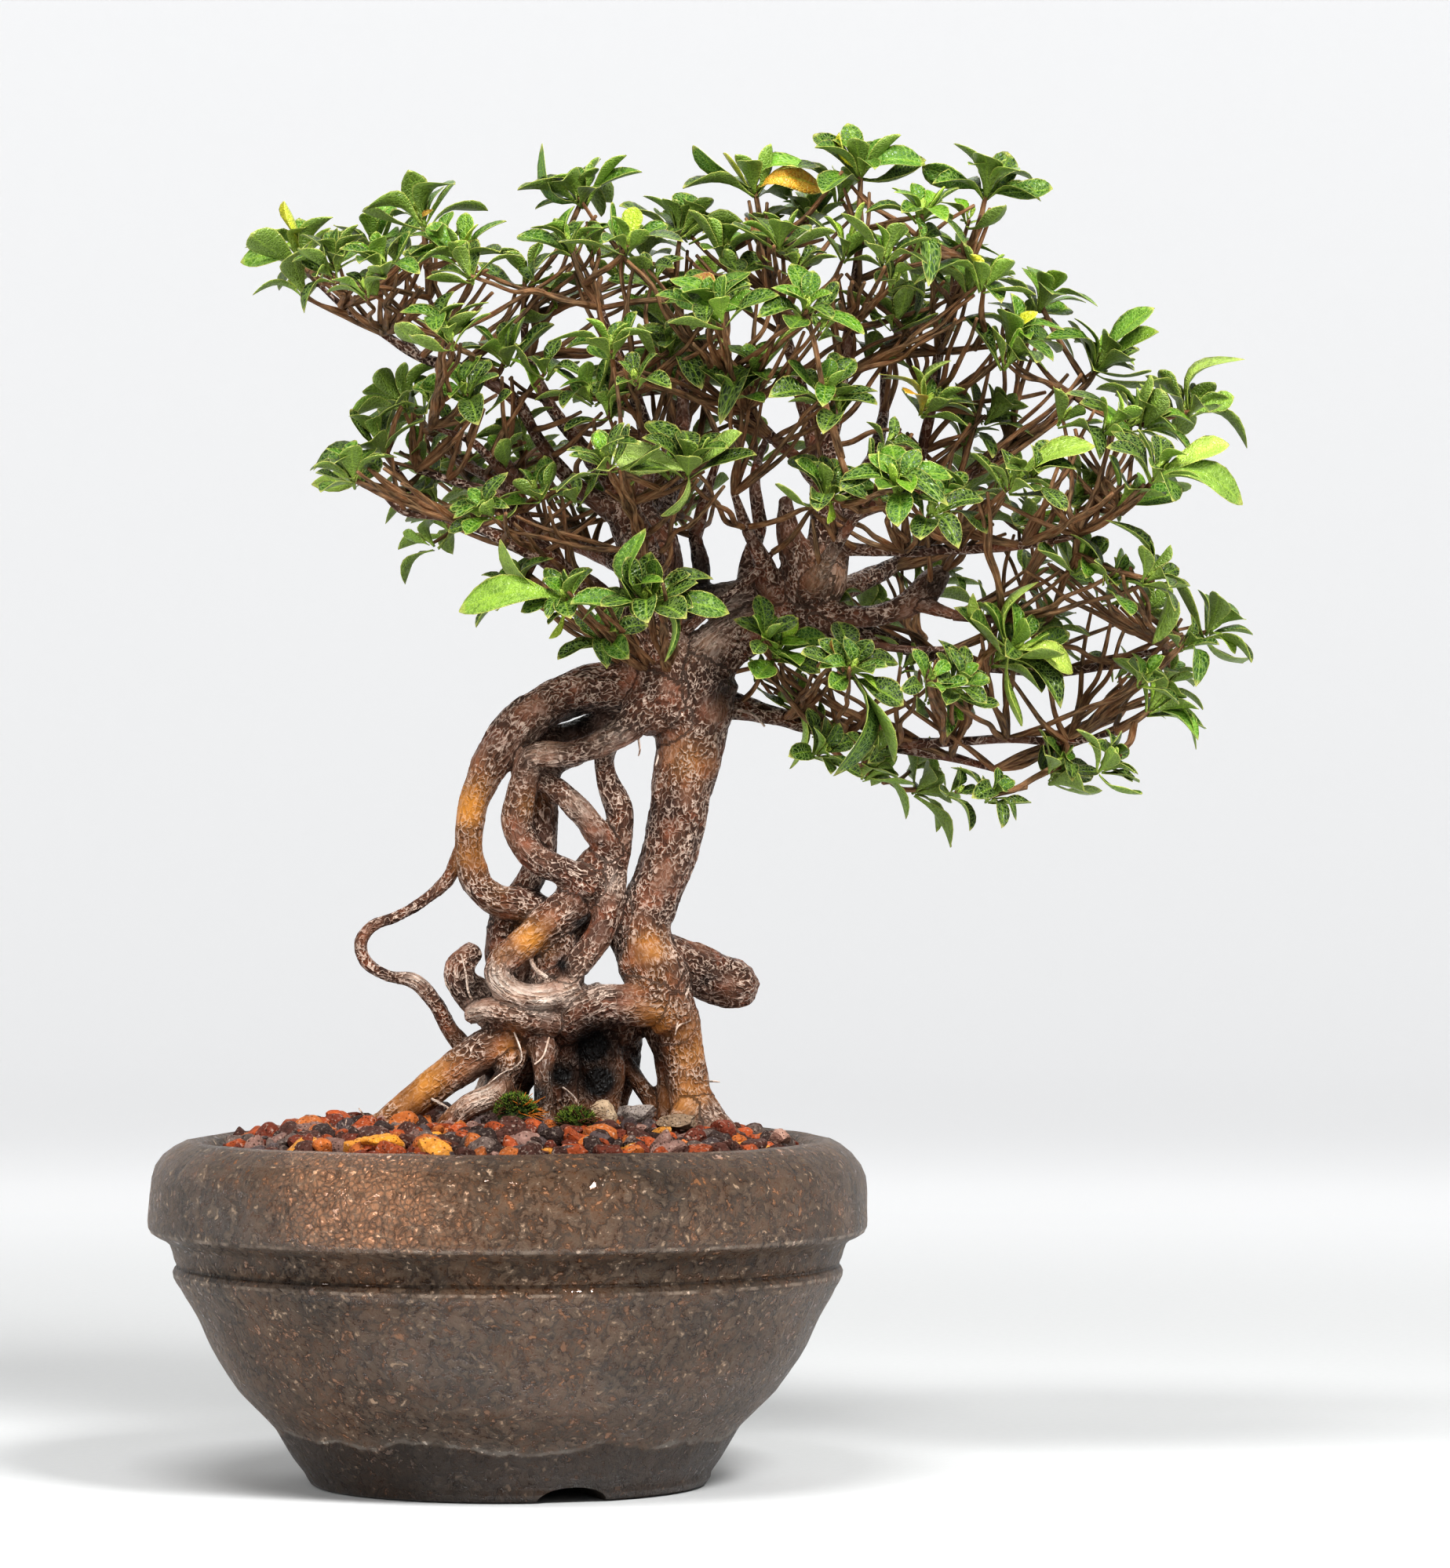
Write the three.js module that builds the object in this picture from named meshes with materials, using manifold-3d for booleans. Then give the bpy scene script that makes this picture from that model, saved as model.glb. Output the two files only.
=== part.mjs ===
// A bonsai azalea grown over bare roots, in a round footed stoneware bowl.
// Millimetres, +Z up. The origin is the centre of the bowl's flat foot, and the front is towards -Y.
// Run: npm install three manifold-3d, then import the default export into a scene.
import * as THREE from 'three';
import { mergeVertices } from 'three/addons/utils/BufferGeometryUtils.js';
import Module from 'manifold-3d';

const wasm = await Module();
wasm.setup();

// ---- Driving dimensions ----
const rimRadius = 120;
const rimHeight = 115;
const footRadius = 66;
const potWall = 12;
const lipWidth = 21;
const floorThickness = 12;
const beadHeight = 4;
const turnedSides = 32;

const grooveWidth = 24;
const grooveHeight = 5;
const grooveInnerRadius = 24;
const grooveAngles = [-70, 50, 170];
const holeRadius = 6;
const holeCircleRadius = 41;

const screenSide = 18;
const screenThickness = 1;
const screenBars = 2;
const screenBarWidth = 2;

const clearance = 0.3;
const soilDepthBelowRim = 12;
const gritEdgeDrop = 3.5;
const gritMound = 9;
const gritBump = 0.9;

const treeScale = 1;
const rootSides = 6;
const limbSides = 5;
const limbRingsPerPoint = 0.6;
const twigRadius = 1.2;
const twigRings = 2;
const rosetteLeaves = 5;
const rosetteRoom = 29.5;
const leafCup = 0.22;
const leafSpread = 0.21;
const budHeight = 2.6;
const budBase = 2.2;

// ---- Colours ----
const glazeBrown = '#56443a';
const screenBlack = '#22211f';
const soilBrown = '#3a2a20';
const gritRust = '#a3552b';
const stoneColours = ['#e09a3a', '#b9a184', '#8b8682', '#6f6b68', '#b08a7a', '#c0541a'];
const mossGreen = '#3f6420';
const barkBrown = '#6b5348';
const leafGreens = ['#3c5a24', '#4f7a2a', '#6b9130'];

// ---- Helpers ----
const radians = THREE.MathUtils.degToRad;
const part = new THREE.Group();

function solid(geometry) {
  const bare = geometry.clone();
  bare.deleteAttribute('normal');
  bare.deleteAttribute('uv');
  const merged = mergeVertices(bare, 1e-4);
  const triVerts = new Uint32Array(merged.index.array);
  const vertProperties = merged.attributes.position.array;
  return new wasm.Manifold(new wasm.Mesh({ numProp: 3, vertProperties, triVerts }));
}

function geometryOf(body) {
  const mesh = body.getMesh();
  const geometry = new THREE.BufferGeometry();
  geometry.setAttribute('position', new THREE.BufferAttribute(mesh.vertProperties, 3));
  geometry.setIndex(new THREE.BufferAttribute(mesh.triVerts, 1));
  geometry.computeVertexNormals();
  return geometry;
}

function add(name, body, color, roughness) {
  const material = new THREE.MeshStandardMaterial({ color, roughness, metalness: 0 });
  const mesh = new THREE.Mesh(geometryOf(body), material);
  mesh.name = name;
  part.add(mesh);
}

// A turned shape: the profile lists [radius, height] and runs from the axis back to the axis.
function turned(profile, segments) {
  const points = profile.map(([radius, height]) => new THREE.Vector2(radius, height));
  return solid(new THREE.LatheGeometry(points, segments).rotateX(Math.PI / 2));
}

// Radius of a strand at a share of its length, easing from one listed point to the next.
function radiusAlong(points, share) {
  const reach = [0];
  for (let i = 1; i < points.length; i += 1) {
    const [a, b] = [points[i - 1], points[i]];
    reach.push(reach[i - 1] + Math.hypot(b[0] - a[0], b[1] - a[1], b[2] - a[2]));
  }
  const target = share * reach.at(-1);
  const i = Math.max(1, reach.findIndex((length) => length >= target - 1e-9));
  const within = (target - reach[i - 1]) / (reach[i] - reach[i - 1]);
  return THREE.MathUtils.lerp(points[i - 1][3], points[i][3], Math.min(1, within));
}

// A closed round strand through points [x, y, z, radius], with domed ends.
function strand(points, sides, spare = 0, ringsPerPoint = 1) {
  const line = points.map(([x, y, z]) => new THREE.Vector3(x, y, z));
  const axis = new THREE.CatmullRomCurve3(line, false, 'centripetal');
  const rings = Math.max(2, Math.ceil((points.length - 1) * ringsPerPoint));
  const frames = axis.computeFrenetFrames(rings);
  const body = new THREE.CylinderGeometry(1, 1, 1, sides, rings);
  const position = body.attributes.position;
  const vertex = new THREE.Vector3();
  for (let i = 0; i < position.count; i += 1) {
    vertex.fromBufferAttribute(position, i);
    const share = Math.min(1, Math.max(0, vertex.y + 0.5));
    const ring = Math.round(share * rings);
    const radius = radiusAlong(points, share) + spare;
    const across = new THREE.Vector3().crossVectors(frames.normals[ring], frames.tangents[ring]);
    const end = ring === rings ? 1 : ring === 0 ? -1 : 0;
    const dome = Math.hypot(vertex.x, vertex.z) < 0.01 ? radius * 0.4 : 0;
    const place = axis.getPointAt(share)
      .addScaledVector(frames.normals[ring], vertex.x * radius)
      .addScaledVector(across, vertex.z * radius)
      .addScaledVector(frames.tangents[ring], end * (spare + dome));
    position.setXYZ(i, place.x, place.y, place.z);
  }
  return solid(body);
}

const joined = (bodies) => wasm.Manifold.union(bodies);

// ---- Bowl ----
// The outline is drawn for a bowl 240 across and 115 high, and follows the named sizes.
const outlineRimRadius = 120;
const outlineRimHeight = 115;
const outlineFootRadius = 66;

function potRadius(drawn) {
  const rise = (drawn - outlineFootRadius) / (outlineRimRadius - outlineFootRadius);
  return footRadius + rise * (rimRadius - footRadius);
}

const potHeight = (drawn) => (drawn * rimHeight) / outlineRimHeight;

const bowlOutline = [
  [66, 0], [67.5, 2.5], [72, 9], [79, 20], [89.5, 31], [97, 42], [101.5, 51], [105.5, 60],
];
const lipOutline = [
  [113.5, 80.5], [118.5, 83.2], [120, 87], [120, 97], [118.5, 105], [114.5, 111.5], [107, 115],
];
const bowlWall = bowlOutline.map(([r, z]) => [potRadius(r), potHeight(z)]);
const lip = lipOutline.map(([r, z]) => [potRadius(r), potHeight(z)]);
const beadRadius = potRadius(110);
const beadMiddle = potHeight(71.5);
const bead = [
  [beadRadius, beadMiddle - beadHeight],
  [beadRadius + beadHeight / 2, beadMiddle],
  [beadRadius + beadHeight / 4, beadMiddle + beadHeight],
];
const wallInside = bowlWall
  .filter(([, z]) => z > floorThickness + potWall)
  .map(([r, z]) => [r - potWall, z]);
const mouthRadius = rimRadius - lipWidth;
const floorRadius = footRadius - potWall;
const inside = [
  [floorRadius, floorThickness],
  [floorRadius + potWall * 0.8, floorThickness + potWall * 0.5],
  ...wallInside,
  [mouthRadius - 1.5, potHeight(78)],
  [mouthRadius - 1, potHeight(104)],
];
const mouthEdge = [mouthRadius + 3, potHeight(112)];

function grooveCut(angle) {
  const half = grooveWidth / 2;
  const arch = new THREE.Shape();
  arch.moveTo(-half, -grooveHeight);
  arch.lineTo(half, -grooveHeight);
  arch.lineTo(half, 0);
  arch.absellipse(0, 0, half, grooveHeight, 0, Math.PI, false);
  const depth = footRadius * 2 - grooveInnerRadius;
  const cut = new THREE.ExtrudeGeometry(arch, { depth, bevelEnabled: false, curveSegments: 8 });
  cut.rotateX(Math.PI / 2).rotateZ(Math.PI / 2);
  cut.computeBoundingBox();
  cut.translate(grooveInnerRadius - cut.boundingBox.min.x, 0, 0).rotateZ(radians(angle));
  return solid(cut);
}

function holeCut(angle) {
  const cut = new THREE.CylinderGeometry(holeRadius, holeRadius, floorThickness * 3, 14);
  cut.rotateX(Math.PI / 2).translate(holeCircleRadius, 0, 0).rotateZ(radians(angle));
  return solid(cut);
}

const outside = [[0, 0], ...bowlWall, ...bead, ...lip, mouthEdge];
const potProfile = [...outside, ...inside.toReversed(), [0, floorThickness]];
const drainage = grooveAngles.flatMap((angle) => [grooveCut(angle), holeCut(angle)]);
const pot = turned(potProfile, turnedSides).subtract(joined(drainage));
add('pot', pot, glazeBrown, 0.45);

// ---- Drain screens, one flat over each hole ----
function plateAt(angle, grow) {
  const side = screenSide + grow * 2;
  const thickness = screenThickness + grow * 2;
  const plate = new THREE.BoxGeometry(side, side, thickness);
  const middle = floorThickness + clearance + screenThickness / 2;
  return solid(plate.translate(holeCircleRadius, 0, middle).rotateZ(radians(angle)));
}

function screenOpenings(angle) {
  const pitch = (screenSide - screenBarWidth) / screenBars;
  const width = pitch - screenBarWidth;
  const cuts = [];
  for (let i = 0; i < screenBars * screenBars; i += 1) {
    const x = ((i % screenBars) - (screenBars - 1) / 2) * pitch;
    const y = (Math.floor(i / screenBars) - (screenBars - 1) / 2) * pitch;
    const cut = new THREE.BoxGeometry(width, width, floorThickness * 3);
    cuts.push(solid(cut.translate(holeCircleRadius + x, y, floorThickness).rotateZ(radians(angle))));
  }
  return joined(cuts);
}

grooveAngles.forEach((angle, i) => {
  add(`drain_screen_${i + 1}`, plateAt(angle, 0).subtract(screenOpenings(angle)), screenBlack, 0.6);
});

// ---- Soil, filling the bowl up to the grit ----
const soilTop = rimHeight - soilDepthBelowRim;
const innerWall = [...inside, mouthEdge];
const insideRadiusAt = (height) => {
  const i = innerWall.findIndex(([, z]) => z >= height);
  const [[r0, z0], [r1, z1]] = [innerWall[i - 1], innerWall[i]];
  return THREE.MathUtils.lerp(r0, r1, (height - z0) / (z1 - z0));
};
const soilSide = inside.filter(([, z]) => z < soilTop).map(([r, z]) => [r - clearance, z]);
soilSide[0][1] += clearance;
const soilProfile = [
  [0, floorThickness + clearance],
  ...soilSide,
  [insideRadiusAt(soilTop) - clearance, soilTop],
  [0, soilTop],
];
const screenPockets = grooveAngles.map((angle) => plateAt(angle, clearance));
const soil = turned(soilProfile, turnedSides).subtract(joined(screenPockets));
add('soil', soil, soilBrown, 0.95);

// ---- Tree: exposed roots, trunk and limbs, grown together ----
// The strands are drawn for a treeScale of 1 and grow about the middle of the grit.
const soilLine = 115;
const grown = (points) => points.map(([x, y, z, r]) => [
  x * treeScale,
  y * treeScale,
  rimHeight + (z - soilLine) * treeScale,
  r * treeScale,
]);

const roots = {
  main: [[64, 0, 268, 13], [61, 0, 250, 11.5], [58, 0, 232, 10.3], [55, 0, 216, 9.4], [51, 0, 203, 9.2],
    [46, -1, 190, 8.8], [45, -3, 180, 9.4], [48, -4, 171, 11], [51, -4, 162, 9.5], [55, -3, 153, 7.5]],
  knee: [[52, -4, 166, 9], [46, -8, 160, 7.5], [40, -11, 159.5, 6.8], [33, -13, 160, 6.5],
    [27, -12, 157.5, 6.8], [19, -8, 153, 7]],
  right_leg: [[54, -2, 160, 8], [57, 0, 150, 7], [58.5, 0, 141, 7], [60, -1, 131, 7.2], [63, -2, 121, 9],
    [64, -3, 110, 10]],
  right_toe: [[62, -3, 126, 6], [70, -5, 119.5, 4.5], [78, -7, 112, 3]],
  front_toe: [[62, -3, 126, 6], [56, -9, 119.5, 4.5], [50, -15, 112, 3.5]],
  rear_leg: [[50, 6, 154, 6], [52.5, 7, 142, 4.4], [53.5, 7, 130, 4.4], [53, 8, 110, 5.5]],
  cut_stub: [[50, 3, 176, 8], [60, 6, 172, 8.5], [68, 8, 168, 8.8], [77, 8, 166, 8.2], [81, 8, 166, 6]],
  left_arch: [[50, 2, 267, 11], [38, 1, 265, 8.5], [28, 0, 265, 8], [18, -1, 261.5, 7.3],
    [8, -2, 256.5, 7.3],
    [0, -3, 249, 7.4], [-6, -3, 240, 6.2], [-10.5, -2, 230, 5.3], [-13, -1, 220, 4.8],
    [-13.2, 0, 210, 4.8],
    [-11, 0, 200, 5.1], [-4, 0, 194.5, 5.2], [4, 0, 193, 5.5], [15, 2, 188, 5.5]],
  thin_loop: [[-12, 4, 222, 2.2], [-18, 6, 208, 2.2], [-20.5, 5, 201, 2.4], [-30, 2, 193, 2],
    [-38, 0, 188.5, 2],
    [-45, -1, 186, 2.2], [-49.5, -1, 180, 2.3], [-47, -1, 173, 2.2], [-40, -1, 169, 2.1],
    [-31, -1, 167, 2.8],
    [-24, 0, 159, 2.7], [-19, 2, 150, 3], [-13, 3, 143, 4], [-8, 0, 140, 5]],
  front_arm: [[52, -3, 264, 10], [43, -8, 255, 6.3], [38, -10, 250, 5], [31, -12, 246.5, 4.3],
    [23, -13, 243.5, 4.1], [15, -13, 242.7, 4.4], [8, -11, 241.5, 4.5], [5, -7, 234, 4.7],
    [3, -5, 225, 5.3],
    [3.5, -5, 217, 5], [7, -6, 210.5, 4.8], [14, -7, 206, 4.7], [22, -8, 203, 4.8], [28, -7, 199, 6]],
  rear_arm: [[42, 6, 262, 6], [30, 8, 254, 4.2], [18, 8, 249.5, 4], [8, 5, 248, 4], [2, -2, 247, 5]],
  rear_upright: [[24, -4, 243.5, 4.2], [15, 4, 240, 4.3], [12, 3, 231, 4.4], [11.5, 2, 221, 4.6],
    [11.5, 2, 211, 4.6], [8, 3, 203, 4.6], [3, 5, 195, 4.8], [-2, 6, 187, 5], [-3.5, 6, 178, 5],
    [-2, 5, 169, 5.5], [1, 4, 158, 6.5]],
  diagonal: [[8, -5, 238, 4], [14, -5, 233, 3.8], [21, -8, 227, 4.1], [28, -9, 219, 4.4],
    [34, -7, 211, 5]],
  right_upright: [[33, -9, 248, 4], [32, -3, 239, 3.5], [34, -4, 231, 4.2], [37, -4, 224, 4.8],
    [36.5, -5, 214, 4.7],
    [35, -6, 205, 4.6], [34, -7, 196, 4.6], [31.5, -9, 186, 4.6], [27, -11, 178, 4.7],
    [20, -13.5, 170, 4.6]],
  cross: [[37, -5, 212, 4.5], [30, -4, 207, 6.5], [25, -3, 199, 7.5], [19, -4, 191, 7],
    [12, -6, 186, 6.2],
    [5, -9, 180, 5.4], [-1, -12, 174, 4.8]],
  pale_loop: [[0, -11, 177, 4.8], [-3.5, -13, 170.5, 4.7], [0, -14.5, 165, 4.6], [7, -15, 162.5, 4.3],
    [15, -14, 163, 4.7], [22, -12, 166, 5]],
  ledge: [[-13, -8, 156, 3.4], [-5, -12, 158, 4.4], [5, -13, 156, 5], [16, -11, 154, 5]],
  heart: [[14, 0, 184, 8], [16, 0, 172, 9], [14, -1, 160, 11], [22, 0, 154, 10], [34, 0, 160, 8]],
  left_foot: [[18, -1, 154, 8.8], [8, -3, 150.5, 8.4], [-2, -5, 147, 7.6], [-13, -7, 141, 6.6],
    [-26, -10, 131.5, 5.8], [-35, -12, 125, 5], [-45, -14, 118, 4], [-56, -16, 110, 3]],
  pale_foot: [[-28, -17, 111, 3], [-18, -18, 122, 3.6], [-12, -18, 127, 4.3], [-5, -15, 130, 4],
    [0, -10, 137, 4],
    [3, -5, 146, 5]],
  pillar: [[24, 2, 158, 10], [28, 3, 147, 9.4], [30, 3, 136, 8.4], [29, 3, 125, 8.2], [28, 2, 109, 9]],
  rear_brace: [[32, 7, 152, 4.4], [37, 9, 143, 3.3], [42.5, 9, 134, 3], [48, 8, 126, 3.2], [53, 8, 115, 4]],
  dead_stub: [[-3, 0, 156, 6.5], [-12, -2, 163, 6.4], [-17, -3, 169, 4.8], [-15, -2, 174, 4.6],
    [-11, -2, 178, 3.6]],
  fibrous: [[12, -10, 146, 5], [12, -16, 137, 3.4], [12, -20, 127, 3.4], [13, -22, 110, 4]],
  bridge: [[35, -2, 196, 4], [36.5, -2, 189, 4.4], [37.5, -2, 182, 4.2], [40, -2, 176, 4.4]],
  rear_mass: [[30, 5, 197, 4.4], [25, 6, 188, 5.4], [16, 6, 180, 6.6], [6, 7, 172, 6.6], [0, 6, 162, 6]],
  rear_knot: [[-3, 6, 186, 4.6], [4, 7, 186, 4.6], [12, 6, 182, 5.5]],
  heart_left: [[16, 2, 158, 9], [6, 4, 146, 8.5], [0, 6, 134, 8], [-3, 7, 122, 7], [-4, 8, 110, 7]],
  heart_front: [[18, 0, 150, 8], [16, 0, 138, 7.5], [16, 0, 126, 7], [17, 1, 110, 7.5]],
  back_right: [[36, 4, 154, 8], [38, 16, 143, 6.2], [34, 28, 128, 6], [28, 40, 110, 5]],
  back_left: [[10, 6, 158, 8], [2, 18, 145, 6], [-8, 28, 128, 5.2], [-18, 36, 110, 4.5]],
};

const limbs = {
  trunk: [[57, 0, 254, 14], [53, 0, 266, 15], [50, 0, 277, 13], [47, 0, 289, 10.8], [48, 1, 301, 10.5],
    [46, 1, 313, 10.5], [43, 1, 322, 8], [41, 1, 329, 5]],
  right_limb: [[56, 0, 262, 12], [64, 1, 271, 11.5], [73, 2, 281, 9.5], [83, 2, 286, 8.5],
    [94, 1, 290, 8],
    [103, 0, 297, 8.3], [106, 0, 308, 7.8], [106, 0, 319, 6.6], [104, 1, 333, 4.8], [103, 2, 346, 4]],
  right_spur: [[98, -1, 289, 6.5], [112, -4, 288.5, 5], [124, -5, 289.5, 4.8], [133, -5, 293, 5.2],
    [140, -5, 299, 6], [145, -5, 304, 4]],
  dead_branch: [[56, -4, 282, 3], [66, -9, 290, 2.2], [80, -11, 301, 2.3], [88, -11, 310, 1.6]],
  heart_bridge: [[50, 4, 297, 7], [62, 4, 294, 6.4], [76, 3, 296, 6], [92, 2, 300, 6]],
  stump: [[100, -2, 296, 8], [96, -4, 308, 6.5], [93, -4, 318, 5], [92, -3, 328, 3.4]],
  inner_left: [[58, 3, 290, 6], [64, 8, 302, 4.4], [62, 12, 316, 3.4], [66, 14, 331, 2.6],
    [71, 16, 346, 2]],
  inner_middle: [[80, 4, 294, 6], [80, 10, 306, 4.4], [84, 16, 320, 3.4], [82, 20, 336, 2.6],
    [86, 24, 350, 2]],
  inner_front: [[88, -2, 296, 6], [84, -10, 308, 4], [79, -15, 318, 3], [75, -19, 329, 2.2]],
  low_left: [[46, 0, 284, 7], [38, 0, 289, 6], [29, -2, 297, 5], [20, -5, 303, 4.6], [10, -9, 309, 4],
    [0, -12, 313, 3], [-10, -14, 318, 2.5], [-22, -16, 321.5, 2.2], [-34, -18, 323, 2],
    [-42, -20, 330, 1.6]],
  low_left_fork: [[-24, -16, 321.5, 1.9], [-33, -13, 332, 1.6], [-39, -10, 341, 1.4]],
  left_stub: [[17, -6, 304, 4.6], [8, -3, 314, 5], [3, -2, 323, 5], [1, -2, 331, 4.5], [0, -2, 338, 3.5],
    [-2, -2, 342, 2.4]],
  left_fan_low: [[2, -3, 327, 3.8], [-10, -9, 331, 2.6], [-20, -12, 334, 2.2], [-30, -14, 337, 1.8]],
  left_fan_back: [[0, -2, 331, 3.4], [-8, 5, 336, 2.6], [-18, 13, 342, 2.2], [-28, 22, 350, 1.6]],
  left_fan_front: [[1, -3, 333, 3], [-6, -8, 341, 2.3], [-13, -14, 347, 2], [-25, -20, 351, 1.5]],
  high_left: [[43, 1, 316, 8], [37, 1, 323, 6], [30, 1, 327, 4.6], [22, 1, 333, 3.8], [14, 0, 342, 3.3],
    [8, -1, 351, 3], [3, -1, 360, 3.2], [-6, -2, 367, 3.5], [-16, -3, 371.5, 3], [-29, -3, 375, 2.5],
    [-42, -4, 383, 2], [-55, -5, 392, 1.7], [-63, -5, 399, 1.5]],
  high_left_fork: [[-30, -3, 375.5, 2.2], [-38, 4, 386, 1.7], [-44, 9, 397, 1.4]],
  high_left_front: [[-17, -3, 371.5, 2.4], [-21, -12, 381, 1.8], [-26, -16, 394, 1.5]],
  crown_left: [[42, 2, 322, 6], [36, 5, 331, 4.6], [28, 9, 341, 4], [20, 13, 351, 3.4], [12, 17, 362, 3],
    [6, 19, 376, 2.4], [4, 18, 390, 1.8]],
  crown_front: [[43, 0, 322, 6], [45, -7, 334, 4.5], [46, -16, 348, 3.8], [42, -22, 362, 3.2],
    [36, -25, 376, 2.6],
    [31, -24, 390, 2]],
  crown_back: [[43, 2, 320, 6], [50, 11, 334, 4.6], [57, 20, 350, 3.7], [58, 26, 366, 3.1],
    [54, 26, 382, 2.5],
    [52, 22, 396, 1.9]],
  crown_right: [[103, 2, 343, 4.2], [99, 4, 357, 3.7], [96, 5, 370, 3.2], [92, 5, 383, 2.7],
    [88, 5, 397, 2.2],
    [86, 4, 412, 1.7]],
  crown_tip: [[104, 1, 336, 4.6], [108, -4, 352, 3.7], [111, -8, 368, 3.2], [113, -10, 384, 2.6],
    [115, -10, 400, 2.1], [117, -9, 417, 1.7]],
  long_pale: [[105, -1, 312, 4.5], [116, -7, 311, 3.3], [132, -15, 310, 2.8], [150, -22, 310.5, 2.4],
    [170, -29, 311.5, 2.1], [188, -34, 315, 1.8], [202, -37, 322, 1.5]],
  right_high: [[105, 1, 319, 5.4], [118, 5, 325, 4.2], [134, 9, 330, 3.7], [150, 11, 335, 3.2],
    [165, 12, 343, 2.8], [178, 12, 352, 2.4], [189, 11, 363, 2]],
  right_tall: [[132, 9, 330, 3.6], [138, 4, 344, 2.9], [141, 1, 360, 2.5], [143, -1, 377, 2.1],
    [147, -2, 393, 1.8], [152, -3, 408, 1.5]],
  low_right: [[62, 6, 262, 8], [76, 12, 259, 5.4], [92, 16, 255, 4.2], [110, 18, 250, 3.5],
    [130, 18, 245.5, 3],
    [148, 16, 242, 2.4], [162, 13, 238, 1.8]],
  low_right_front: [[126, 18, 246.5, 2.8], [146, 9, 247, 2.4], [166, 1, 248, 2.1], [186, -4, 247, 1.8],
    [202, -7, 250, 1.5]],
  mid_right: [[102, 2, 293, 6], [118, 8, 284, 4], [138, 12, 277, 3.4], [160, 13, 272.5, 2.9],
    [184, 12, 270.5, 2.4], [202, 10, 273.5, 2], [220, 7, 279, 1.6]],
  spur_twig: [[134, -5, 294, 4.4], [148, -12, 289, 2.8], [164, -18, 287, 2.2]],
  under_twig: [[99, -2, 290, 5], [108, -9, 283, 3], [118, -16, 279.5, 2.2], [132, -21, 277.5, 1.9],
    [147, -25, 277.5, 1.6]],
  front_diagonal: [[103, -2, 334, 4], [96, -9, 341, 3.2], [88, -16, 347, 2.8], [79, -23, 356, 2.4],
    [72, -28, 367, 2]],
  back_left_limb: [[49, 6, 302, 7], [40, 22, 306, 5], [27, 38, 312, 4], [10, 51, 319, 3.2],
    [-6, 60, 328, 2.3]],
  back_limb: [[47, 5, 313, 7], [51, 22, 324, 5], [55, 40, 336, 4], [57, 55, 349, 3], [55, 66, 363, 2.2]],
  back_right_limb: [[102, 4, 296, 6], [113, 22, 299, 5], [127, 40, 306, 4], [143, 55, 315, 3],
    [157, 66, 326, 2.2]],
  back_high_limb: [[105, 3, 320, 5.4], [114, 20, 330, 4.2], [122, 36, 343, 3.4], [126, 48, 359, 2.7],
    [126, 56, 376, 2]],
  front_left_limb: [[48, -5, 303, 6.5], [48, -20, 308, 4.6], [46, -34, 315, 3.6], [42, -46, 325, 2.6]],
  front_right_limb: [[101, -4, 297, 6], [104, -20, 304, 4.2], [109, -36, 312, 3.2], [116, -50, 322, 2.4]],
  front_spur: [[48, -6, 291, 4.6], [47, -15, 293, 2.6], [47, -22, 293, 1.8]],
};

const limbStrands = Object.values(limbs).map(grown);
const rootStrands = Object.values(roots).map(grown);
const wood = (spare) => joined([
  ...rootStrands.map((points) => strand(points, rootSides, spare)),
  ...limbStrands.map((points) => strand(points, limbSides, spare, limbRingsPerPoint)),
]);
const tree = wood(0);
const treeRoom = wood(clearance);
add('tree', tree, barkBrown, 0.85);

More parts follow.
